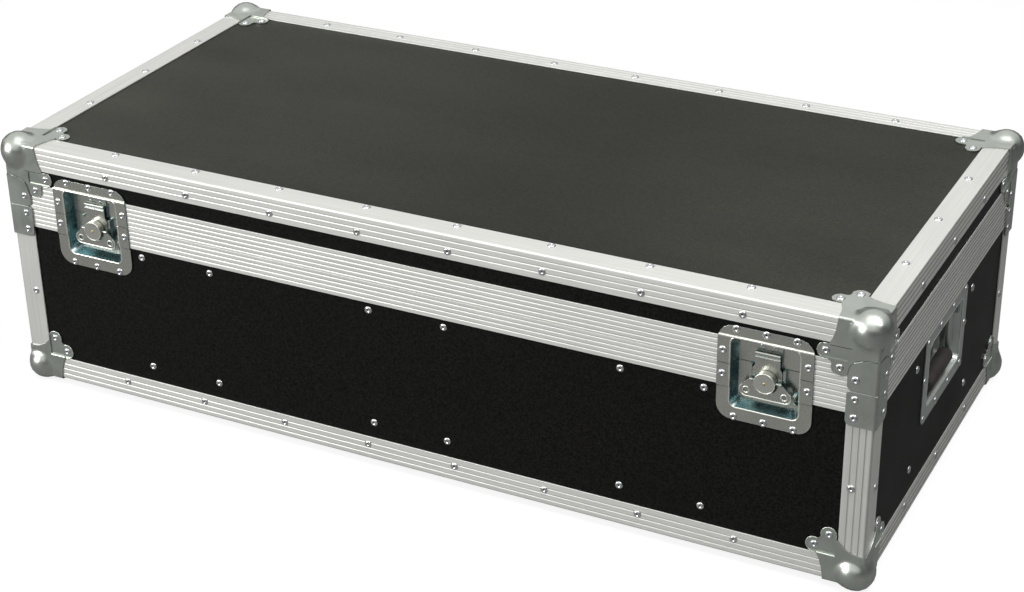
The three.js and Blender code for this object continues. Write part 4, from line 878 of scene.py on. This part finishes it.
class FLIGHTCASE_OT_latches(CaseOperator, bpy.types.Operator):
    """Finish the recessed latches in bright zinc plate, with a painted reflection on the recess's walls,
    painted highlights on the rolled lips, wing rims, eyelets and drum rims, and drum pins
    """

    bl_idname = "flightcase.latches"
    bl_label = "Latches"

    def execute(self, context):
        base = tuple(self.colours.latch_zinc)
        # Painted reflection on the recess's walls
        walls = tuple(self.colours.latch_wall_reflection)
        zinc = plated_zinc("latch_zinc", base, shade(base, 0.88), rough=(0.2, 0.33), walls=walls)
        self.dress_plates(["latch_dish_", "latch_keeper_", "latch_hook_", "latch_wing_"], zinc)
        # A smoother, lighter copy of the latch zinc for the drums: partly polish, partly painted highlight
        polish_and_highlight_zinc = plated_zinc("latch_drum_zinc", shade(base, 1.35), shade(base, 1.2), rough=(0.16, 0.26))
        self.dress_plates(["latch_rotor_"], polish_and_highlight_zinc)
        # A lighter copy of the latch zinc: painted highlight on the lips, the wings' rims and eyelets, and
        # the drums' rims
        bright = plated_zinc("latch_lip_highlight_zinc", shade(base, 1.6), shade(base, 1.8), rough=(0.24, 0.36))
        brass = grained("brass", tuple(self.colours.brass), metal=0.9)
        for hand, side in HANDS.items():
            self.lips(hand, side, bright)
            self.wing_rims(hand, side, bright)
            self.drum_face(hand, side, bright, brass)
        return {"FINISHED"}

    def place(self, side, x, y, z):
        """A point in a latch's own frame: X to the right, Y into the case, Z up from the drum's axis."""
        return Vector((side * LATCH_X + x, y - HALF_Y, DRUM_Z + z))

    def flange(self, z):
        """How deep the flange's face lies at that height: it steps out over the closure rails."""
        outside = max(FLANGE_LOW - z, z - FLANGE_HIGH, 0)
        return min(outside / FLANGE_STEP, 1) * BOARD_STEP - BOARD_STEP

    def on_flange(self, side, line):
        """A flat line as places on the flange's face."""
        return [self.place(side, x, self.flange(z) + self.lip_sink, z) for x, z in line]

    def at_depth(self, side, line, depth):
        """A flat line as places that all lie so deep."""
        return [self.place(side, x, depth, z) for x, z in line]

    def lips(self, hand, side, material):
        """The rolled lip round the recess, split at the parting, and the bend across the flange's head."""
        half, low, high, corner = 38.5 * MM, -36.5 * MM, 47.5 * MM, 8 * MM
        parting, clear = 15 * MM, 0.5 * MM
        head_z, head_x = 46.8 * MM, 51.6 * MM
        inside = half - corner
        bends = (FLANGE_LOW - FLANGE_STEP, FLANGE_LOW)
        lower = [(-half, z) for z in (parting - clear, *reversed(bends))]
        lower += arc((-inside, low + corner), corner, start=180, end=270)
        lower += arc((inside, low + corner), corner, start=270, end=360)
        lower += [(half, z) for z in (*bends, parting - clear)]
        upper = [(half, parting + clear)]
        upper += arc((inside, high - corner), corner, start=0, end=90)
        upper += arc((-inside, high - corner), corner, start=90, end=180)
        upper.append((-half, parting + clear))
        head = [(-head_x, head_z), (head_x, head_z)]
        for body, beads in (("base", [(lower, 1.2)]), ("lid", [(upper, 1.2), (head, 1.8)])):
            builder = bmesh.new()
            for line, thickness in beads:
                swept(builder, self.on_flange(side, line), -Y, self.sizes.lip * thickness)
            finished(f"latch_lip_{body}_{hand}", builder, [material], body)

    def wing_rims(self, hand, side, material):
        """The wing's turned edge round its ears, and the eyelets in them."""
        ear_x, ear_z, ear, eyelet, face = 21 * MM, -13.5 * MM, 7.2 * MM, 3.5 * MM, 3 * MM
        builder = bmesh.new()
        rim = arc((-ear_x, ear_z), ear, start=130, end=270, steps=10)
        rim += arc((ear_x, ear_z), ear, start=-90, end=50, steps=10)
        swept(builder, self.at_depth(side, rim, face), -Y, self.sizes.lip)
        for centre in (-ear_x, ear_x):
            ring = self.at_depth(side, circle((centre, ear_z), eyelet, 16), face)
            swept(builder, ring, -Y, self.sizes.lip, closed=True)
        finished(f"latch_wing_rims_{hand}", builder, [material], f"latch_wing_{hand}")

    def drum_face(self, hand, side, material, brass):
        """The drum's rounded rim, and the brass end of its pin."""
        radius, face, pin_foot = 11.4 * MM, -1.1 * MM, -1.4 * MM
        builder = bmesh.new()
        rim = self.at_depth(side, circle((0, 0), radius, 24), face)
        swept(builder, rim, -Y, self.sizes.lip * 0.75, closed=True)
        # Radius and height of the pin's domed end, in millimetres
        outline = [(0, 1.0), (0.9, 0.8), (1.6, 0.35), (1.8, 0), (1.8, -0.5), (0, -0.5)]
        pin = [(across * MM, rise * MM) for across, rise in outline]
        turned(builder, pin, 16, self.place(side, 0, pin_foot, 0), -Y, lambda index: 1)
        rotor = f"latch_rotor_{hand}"
        finished(f"latch_drum_rim_{hand}", builder, [material, brass], rotor)


class FLIGHTCASE_OT_handles(CaseOperator, bpy.types.Operator):
    """Finish the handles' dishes and bails in zinc plate, their grips in rubber, and the bowls' lips in a
    lighter zinc as a painted highlight
    """

    bl_idname = "flightcase.handles"
    bl_label = "Handles"

    def execute(self, context):
        base = tuple(self.colours.handle_zinc)
        zinc = plated_zinc("handle_zinc", base, shade(base, 1.1), rough=(0.26, 0.4))
        self.dress_plates(["handle_dish_", "handle_bail_"], zinc)
        rubber = moulded_rubber("grip_rubber", tuple(self.colours.grip))
        for node in named("handle_grip_"):
            dress(node, rubber, angle=50)
        # A lighter copy of the handle zinc: painted highlight on the bowls' lips
        bright = plated_zinc("handle_lip_highlight_zinc", shade(base, 1.5), shade(base, 1.7), rough=(0.26, 0.38))
        for hand, side in HANDS.items():
            self.lip(hand, side, bright)
        return {"FINISHED"}

    def lip(self, hand, side, material):
        """The rolled lip round a handle's bowl."""
        half, low, high, corner, face = 64 * MM, 114 * MM, 194 * MM, 9 * MM, 0.2 * MM
        inside = half - corner
        line = arc((inside, low + corner), corner, start=-90, end=0)
        line += arc((inside, high - corner), corner, start=0, end=90)
        line += arc((-inside, high - corner), corner, start=90, end=180)
        line += arc((-inside, low + corner), corner, start=180, end=270)
        x = side * (HALF_X - face - self.lip_sink)
        builder = bmesh.new()
        swept(builder, [Vector((x, y, FOOT + z)) for y, z in line], side * X, self.sizes.lip, closed=True)
        finished(f"handle_lip_{hand}", builder, [material], "base")


class FLIGHTCASE_OT_hinges(CaseOperator, bpy.types.Operator):
    """Finish the hinges at the back in zinc plate"""

    bl_idname = "flightcase.hinges"
    bl_label = "Hinges"

    def execute(self, context):
        base = tuple(self.colours.handle_zinc)
        zinc = plated_zinc("hinge_zinc", base, shade(base, 1.1), rough=(0.28, 0.42))
        self.dress_plates(["hinge_"], zinc, angle=35)
        return {"FINISHED"}


# Rivets


def edge_rivets():
    """Rivets of the edge extrusions and the posts, by body: a point near the surface, and the way out."""
    columns = [side * place * MM for place in (57, 171, 285, 398) for side in BOTH]
    end_rows = (-117 * MM, 0, 117 * MM)
    inset, top_front, top_back, top_end = 20 * MM, 24 * MM, 17 * MM, 20.5 * MM
    side_drop, end_drop, side_rise, end_rise = 20 * MM, 21.5 * MM, 19.5 * MM, 18.5 * MM
    post_side_rise, post_end_rise = 118.5 * MM, 114 * MM
    lid, base = [], []
    for x in columns:
        lid.append((Vector((x, -HALF_Y, TOP - side_drop)), -Y))
        lid.append((Vector((x, -HALF_Y + top_front, TOP)), Z))
        lid.append((Vector((x, HALF_Y - top_back, TOP)), Z))
        lid.append((Vector((x, HALF_Y, TOP - side_drop)), Y))
        for side in BOTH:
            base.append((Vector((x, side * HALF_Y, FOOT + side_rise)), side * Y))
            base.append((Vector((x, side * (HALF_Y - inset), FOOT)), -Z))
    for side in BOTH:
        for y in end_rows:
            lid.append((Vector((side * (HALF_X - top_end), y, TOP)), Z))
            lid.append((Vector((side * HALF_X, y, TOP - end_drop)), side * X))
            base.append((Vector((side * HALF_X, y, FOOT + end_rise)), side * X))
            base.append((Vector((side * (HALF_X - inset), y, FOOT)), -Z))
        for end in BOTH:
            base.append((Vector((side * (HALF_X - inset), end * HALF_Y, FOOT + post_side_rise)), end * Y))
            base.append((Vector((side * HALF_X, end * (HALF_Y - inset), FOOT + post_end_rise)), side * X))
    return {"lid": lid, "base": base}


def board_rivets():
    """Rivets that hold the foam's battens behind the boards."""
    found = []
    batten_middles, batten_half, side_heights = (-310 * MM, 0, 310 * MM), 48 * MM, (197.5 * MM, 50 * MM)
    end_place, end_heights = 106 * MM, (185 * MM, 59 * MM)
    for middle in batten_middles:
        for x in (middle - batten_half, middle + batten_half):
            for height in side_heights:
                for side in BOTH:
                    found.append((Vector((x, side * HALF_Y, FOOT + height)), side * Y))
    for side in BOTH:
        for y in (-end_place, end_place):
            for height in end_heights:
                found.append((Vector((side * HALF_X, y, FOOT + height)), side * X))
    return {"base": found}


def corner_rivets():
    """Rivets of the ball corners' lobes, and of the braces, which are measured from the top."""
    braces = {"lid": ((22.5 * MM, 66 * MM),), "base": ((22 * MM, 88.5 * MM), (22 * MM, 110 * MM))}
    found = {"lid": [], "base": []}
    for part, rivets in found.items():
        upward = ENDS[part][1] * Z
        for (x_out, y_out, at), (_, _, below_top) in zip(corners(part), corners("lid")):
            for far, near in ((LOBE_FAR, LOBE_NEAR), (LOBE_NEAR, LOBE_FAR)):
                rivets.append((at(far, near, 0), upward))
                rivets.append((at(far, 0, near), y_out))
                rivets.append((at(0, far, near), x_out))
            for along, down in braces[part]:
                rivets.append((below_top(along, 0, down), y_out))
                rivets.append((below_top(0, along, down), x_out))
    return found


def latch_rivets():
    """Rivets of the latches' dishes and strikes. The strikes' carry a size, because they are smaller."""
    row, ears, strikes = (-33 * MM, 0, 33 * MM), (-46.5 * MM, 46.5 * MM), (-7 * MM, 7 * MM)
    lid_row, lid_ears, strike = 276 * MM, 249.5 * MM, 256.5 * MM
    base_row, base_ears = 172 * MM, 221.5 * MM
    small = 0.6
    lid, base = [], []
    for hand in HANDS.values():
        def at(places, height):
            return [(Vector((hand * LATCH_X + x, -HALF_Y, FOOT + height)), -Y) for x in places]

        lid += at(row, lid_row) + at(ears, lid_ears)
        lid += [(*rivet, small) for rivet in at(strikes, strike)]
        base += at(row, base_row) + at(ears, base_ears)
    return {"lid": lid, "base": base}


def handle_rivets():
    found = []
    rows, columns = (200 * MM, 104 * MM), (-71 * MM, -24 * MM, 24 * MM, 71 * MM)
    ear_y, ear_z = 76 * MM, 154.5 * MM
    places = [(y, z) for z in rows for y in columns] + [(-ear_y, ear_z), (ear_y, ear_z)]
    for side in BOTH:
        found += [(Vector((side * HALF_X, y, FOOT + z)), side * X) for y, z in places]
    return {"base": found}


def hinge_rivets():
    lid, base = [], []
    columns, rise = (-36 * MM, -12 * MM, 12 * MM, 36 * MM), 17 * MM
    for hand in HANDS.values():
        for x in columns:
            for found, height in ((lid, PARTING + rise), (base, PARTING - rise)):
                found.append((Vector((hand * HINGE_X + x, HALF_Y, height)), Y))
    return {"lid": lid, "base": base}


RIVET_ROWS = {
    "edge": (edge_rivets, "extrusion"),
    "board": (board_rivets, "extrusion"),
    "corner": (corner_rivets, "corner_steel"),
    "latch": (latch_rivets, "latch_steel"),
    "handle": (handle_rivets, "handle_steel"),
    "hinge": (hinge_rivets, "hinge_steel"),
}


class FLIGHTCASE_OT_rivets(CaseOperator, bpy.types.Operator):
    """Set the pop rivets of the edges, boards, corners, latches, handles and hinges"""

    bl_idname = "flightcase.rivets"
    bl_label = "Rivets"

    def profile(self, scale):
        """A domed head with a dimple, and the broken mandrel in it. Small heads are flatter."""
        head, dimple = self.sizes.rivet_head * scale, self.sizes.rivet_dimple * scale
        mandrel, rise = self.sizes.rivet_mandrel * scale, self.sizes.rivet_rise * scale * scale
        crest = dimple + 0.35 * MM * scale
        under, rim_rise = -0.35 * MM, 0.18 * MM
        steps, bulge = 5, 2.2
        inside = [(0, rise * 0.42), (mandrel * 0.8, rise * 0.4), (mandrel, rise * 0.34)]
        dome = [(dimple, rise * 0.95), (crest, rise)]
        for step in range(1, steps + 1):
            share = step / steps
            dome.append((crest + (head - crest) * share, rise * (1 - share**bulge) + rim_rise * share))
        return inside + dome + [(head, under), (0, under)]

    def execute(self, context):
        base, tint = tuple(self.colours.rivet_metal), tuple(self.colours.rivet_tint)
        metal = plated_zinc("rivet_metal", base, tint, rough=(0.2, 0.32))
        mandrel = grained("mandrel_steel_and_painted_shade", tuple(self.colours.mandrel), metal=0.85)
        spread, lean_limit, size_limit, sides = 2.6 * MM, 0.025, 0.03, 20

        # The mandrel's end takes the dark finish: its own steel, darkened further as painted shade in the
        # dimple
        def material_of(band):
            mandrel_bands = 2
            return int(band < mandrel_bands)

        chance = random.Random(7)
        for row, (places_of, slot) in RIVET_ROWS.items():
            for body, places in places_of().items():
                builder = bmesh.new()
                for place, outward, *size in places:
                    foot = seat(body, place, outward, spread)
                    lean = Vector([chance.uniform(-lean_limit, lean_limit) for _ in range(3)])
                    scale = chance.uniform(1 - size_limit, 1 + size_limit) * (size[0] if size else 1)
                    axis = (outward + lean).normalized()
                    turned(builder, self.profile(scale), sides, foot, axis, material_of)
                finished(f"rivets_{row}_{body}", builder, [metal, mandrel], body, sharp_from=48)
        return {"FINISHED"}


# Foam


class FLIGHTCASE_OT_foam(CaseOperator, bpy.types.Operator):
    """Cut the foam cradles and the lid's pad, with soft edges and open cells"""

    bl_idname = "flightcase.foam"
    bl_label = "Foam"

    def soften(self, piece):
        """Rounds the cut edges and lets the faces wave a little."""
        rounding = piece.modifiers.new("cut_edges", "BEVEL")
        rounding.width = self.sizes.foam_round
        rounding.segments = 4
        rounding.limit_method = "ANGLE"
        rounding.angle_limit = math.radians(40)
        rounding.use_clamp_overlap = True
        waves = bpy.data.textures.new(piece.name + "_waves", "CLOUDS")
        waves.noise_scale = 60 * MM
        waves.noise_depth = 2
        uneven = piece.modifiers.new("waves", "DISPLACE")
        uneven.texture = waves
        uneven.texture_coords = "LOCAL"
        uneven.mid_level = 0.85
        uneven.strength = self.sizes.foam_unevenness * 2

    def execute(self, context):
        foam = cell_foam("cell_foam", tuple(self.colours.foam))
        for node in named("foam_cradle_"):
            piece = self.cradle(node, foam)
            self.soften(piece)
            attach(piece, "base")
            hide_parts(node)
        piece = self.pad(foam)
        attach(piece, "lid")
        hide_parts("lid_foam_pad")
        return {"FINISHED"}

    def cradle(self, node, foam):
        """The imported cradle's outline, with its troughs rounder, cut as a grid that can wave."""
        low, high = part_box(node)
        section = self.section(low, high)
        builder = bmesh.new()
        cuts = 8
        rows = []
        for cut in range(cuts + 1):
            x = low.x + (high.x - low.x) * cut / cuts
            rows.append([builder.verts.new((x, y, z)) for y, z in section])
        count = len(section)
        for before, after in zip(rows, rows[1:]):
            for index in range(count):
                onward = (index + 1) % count
                builder.faces.new((before[index], before[onward], after[onward], after[index]))
        builder.faces.new(rows[0])
        builder.faces.new(list(reversed(rows[-1])))
        bmesh.ops.recalc_face_normals(builder, faces=builder.faces)
        mark_smooth(builder, sharp_from=40)
        return from_bmesh("foam_" + node.removeprefix("foam_"), builder, [foam])

    def section(self, low, high):
        """Y and Z round a cradle: floor, walls, ridges and two round-bottomed troughs."""
        middle_ridge, side_ridge, chamfer, floor = 74 * MM, 53 * MM, 10 * MM, 60 * MM
        half = (high.y - low.y) / 2
        radius = (2 * (half - side_ridge) - middle_ridge) / 4
        centre_z = FOOT + floor + radius
        points = [(-half, low.z), (half, low.z), (half, high.z - chamfer), (half - chamfer, high.z)]
        steps = 24
        for side in (1, -1):
            centre = side * (middle_ridge / 2 + radius)
            points.append((centre + radius, high.z))
            for step in range(steps + 1):
                turn = math.pi * step / steps
                points.append((centre + radius * math.cos(turn), centre_z - radius * math.sin(turn)))
            points.append((centre - radius, high.z))
        points += [(chamfer - half, high.z), (-half, high.z - chamfer)]
        return points

    def pad(self, foam):
        """The lid's pad: flat on the board, with a face of low rounded pyramids."""
        low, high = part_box("lid_foam_pad")
        pitch, depth, rim, edge_round = 44 * MM, 9 * MM, 14 * MM, 6 * MM
        cells_x, cells_y = 180, 80
        builder = bmesh.new()
        across = [low.x + (high.x - low.x) * step / cells_x for step in range(cells_x + 1)]
        along = [low.y + (high.y - low.y) * step / cells_y for step in range(cells_y + 1)]

        def face_height(x, y):
            inset = min(x - low.x, high.x - x, y - low.y, high.y - y)
            share = min(1, max(0, inset / rim))
            wave = (1 + math.cos(2 * math.pi * x / pitch) * math.cos(2 * math.pi * y / pitch)) / 2
            edge = 1 - math.sqrt(max(0, 1 - (1 - min(1, inset / edge_round)) ** 2))
            return low.z + depth * share * wave + edge_round * edge

        def row(places, y, height_at):
            return [builder.verts.new((x, y, height_at(x, y))) for x in places]

        lower = [row(across, y, face_height) for y in along]
        upper = [row((low.x, high.x), y, lambda x, y: high.z) for y in (low.y, high.y)]
        for before, after in zip(lower, lower[1:]):
            for index in range(cells_x):
                builder.faces.new((before[index], after[index], after[index + 1], before[index + 1]))
        builder.faces.new((upper[0][0], upper[0][1], upper[1][1], upper[1][0]))
        builder.faces.new((*lower[0], upper[0][1], upper[0][0]))
        builder.faces.new((*reversed(lower[-1]), upper[1][0], upper[1][1]))
        builder.faces.new((*reversed([line[0] for line in lower]), upper[0][0], upper[1][0]))
        builder.faces.new((*[line[-1] for line in lower], upper[1][1], upper[0][1]))
        bmesh.ops.recalc_face_normals(builder, faces=builder.faces)
        mark_smooth(builder, sharp_from=50)
        return from_bmesh("foam_lid_pad", builder, [foam])


# Stage


# Where the lamps aim
LAMP_AIM = Vector((0.1, 0, 0.15))

# Each lamp's direction from there, its distance and its width, in metres
LAMPS = {
    "key": ((-0.66, -0.72, 0.26), 6.0, 2.6),
    "side": ((0.5, -0.2, 0.84), 3.0, 1.1),
    "ceiling": ((0.06, -0.3, 0.95), 2.8, 2.6),
}


class FLIGHTCASE_OT_stage(CaseOperator, bpy.types.Operator):
    """Set the camera, three soft lamps, the even light and a plain paper floor"""

    bl_idname = "flightcase.stage"
    bl_label = "Stage"

    def paper(self, stage):
        """Grey paper, darker at the right, that the camera sees as white but for the case's shadow."""
        finish = Finish("paper")
        darkens_from, darkens_to = HALF_X - 100 * MM, HALF_X + 400 * MM
        white, lit_share, mirrored_share = 1.04, 0.8, 0.3
        across = finish.split(finish.place)[0]
        grey = finish.ranged(across, (darkens_from, darkens_to), (stage.floor_grey, stage.floor_grey_right))
        fibre = finish.ranged(finish.noise(scale=300, detail=3), (0.3, 0.7), (0.99, 1.01))
        channel = finish.math("MULTIPLY", grey, fibre)
        tone = finish.node("ShaderNodeCombineColor", {0: channel, 1: channel, 2: channel})
        finish.set(Base_Color=tone.outputs[0], Roughness=0.9, IOR=1.2)
        path = finish.node("ShaderNodeLightPath").outputs
        missing = finish.math("SUBTRACT", white, finish.math("MULTIPLY", grey, lit_share))
        seen = finish.math("MULTIPLY", path["Is Camera Ray"], missing)
        mirrored = finish.math("MAXIMUM", path["Is Glossy Ray"], path["Is Transmission Ray"])
        mirrored = finish.math("MULTIPLY", mirrored, finish.math("MULTIPLY", grey, mirrored_share))
        strength = finish.math("ADD", seen, mirrored)
        glow = finish.node("ShaderNodeEmission", {"Color": (1, 1, 1, 1), "Strength": strength})
        both = finish.node("ShaderNodeAddShader", {0: finish.shader.outputs[0], 1: glow.outputs[0]})
        finish.feed(finish.tree.nodes["Material Output"].inputs["Surface"], both.outputs[0])
        return finish.material

    def sweep(self, radius, material):
        """A round floor that curves up into a wall all round, beyond the camera and the lamps."""
        builder = bmesh.new()
        flat_shares = (0.15, 0.3, 0.5, 0.7)
        bend_steps, sides = 12, 64
        flat = flat_shares[-1] * radius
        bend = radius - flat
        profile = [(0.0, 0.0)] + [(radius * share, 0.0) for share in flat_shares]
        for step in range(1, bend_steps + 1):
            turn = math.pi / 2 * step / bend_steps
            profile.append((flat + bend * math.sin(turn), bend * (1 - math.cos(turn))))
        turned(builder, profile, sides, Vector(), Z)
        bmesh.ops.recalc_face_normals(builder, faces=builder.faces)
        bmesh.ops.reverse_faces(builder, faces=builder.faces)
        mark_smooth(builder, sharp_from=60)
        return from_bmesh("floor", builder, [material])

    def sky(self, strength):
        """Even light; the camera sees it white, and metal sees it white above and dimmer low at the right."""
        world = bpy.data.worlds.new("even_light")
        world.use_nodes = True
        wiring = Wiring(world.node_tree)
        direction = wiring.split(wiring.node("ShaderNodeTexCoord").outputs["Generated"])
        path = wiring.node("ShaderNodeLightPath").outputs
        above = wiring.ranged(direction[2], (0.1, 0.42), (0.35, 1.0))
        at_left = wiring.ranged(direction[0], (0.3, 0.8), (1.0, 0.4))
        mirrored = wiring.math("MAXIMUM", path["Is Glossy Ray"], path["Is Transmission Ray"])
        shown = wiring.math("MULTIPLY", mirrored, wiring.math("MULTIPLY", above, at_left))
        shown = wiring.math("MAXIMUM", path["Is Camera Ray"], shown)
        background = wiring.tree.nodes["Background"].inputs
        background["Color"].default_value = (1, 1, 1, 1)
        wiring.feed(background["Strength"], wiring.math("MAXIMUM", shown, strength))
        return world

    def lamp(self, name, power):
        direction, distance, width = LAMPS[name]
        light = bpy.data.lights.new(f"lamp_{name}", "AREA")
        light.shape = "SQUARE"
        light.size = width
        light.energy = power
        piece = new_object(f"lamp_{name}", light)
        piece.location = LAMP_AIM + Vector(direction).normalized() * distance
        piece.rotation_euler = (piece.location - LAMP_AIM).to_track_quat("Z", "Y").to_euler()

    def execute(self, context):
        stage = context.scene.flight_case_stage
        data = bpy.data.cameras.new("camera")
        data.lens = stage.lens
        data.sensor_width = 36
        data.clip_end = 100
        camera = new_object("camera", data)
        camera.location = stage.camera_place
        camera.rotation_euler = stage.camera_turn
        context.scene.camera = camera
        self.lamp("key", stage.key_power)
        self.lamp("side", stage.side_power)
        self.lamp("ceiling", stage.ceiling_power)
        context.scene.world = self.sky(stage.sky)
        context.scene.view_settings.view_transform = "Standard"
        self.sweep(stage.floor_radius, self.paper(stage))
        return {"FINISHED"}


class FLIGHTCASE_PT_panel(bpy.types.Panel):
    """The flight case's operators and settings"""

    bl_idname = "FLIGHTCASE_PT_panel"
    bl_label = "Flight case"
    bl_space_type = "VIEW_3D"
    bl_region_type = "UI"
    bl_category = "Flight case"

    def draw(self, context):
        for operator in OPERATORS:
            self.layout.operator(operator.bl_idname)
        for key in GROUPS:
            group = getattr(context.scene, key)
            column = self.layout.column()
            for name in group.__annotations__:
                column.prop(group, name)


OPERATORS = (
    FLIGHTCASE_OT_extrusions,
    FLIGHTCASE_OT_boards,
    FLIGHTCASE_OT_corners,
    FLIGHTCASE_OT_latches,
    FLIGHTCASE_OT_handles,
    FLIGHTCASE_OT_hinges,
    FLIGHTCASE_OT_rivets,
    FLIGHTCASE_OT_foam,
    FLIGHTCASE_OT_stage,
)
GROUPS = {
    "flight_case_sizes": FlightCaseSizes,
    "flight_case_colours": FlightCaseColours,
    "flight_case_stage": FlightCaseStage,
}


def register():
    for group in GROUPS.values():
        bpy.utils.register_class(group)
    for operator in OPERATORS:
        bpy.utils.register_class(operator)
    bpy.utils.register_class(FLIGHTCASE_PT_panel)
    for key, group in GROUPS.items():
        setattr(bpy.types.Scene, key, PointerProperty(type=group))


def unregister():
    for key in GROUPS:
        delattr(bpy.types.Scene, key)
    bpy.utils.unregister_class(FLIGHTCASE_PT_panel)
    for operator in reversed(OPERATORS):
        bpy.utils.unregister_class(operator)
    for group in reversed(list(GROUPS.values())):
        bpy.utils.unregister_class(group)


def main():
    register()
    for operator in OPERATORS:
        category, name = operator.bl_idname.split(".")
        getattr(getattr(bpy.ops, category), name)()


if __name__ == "__main__":
    main()
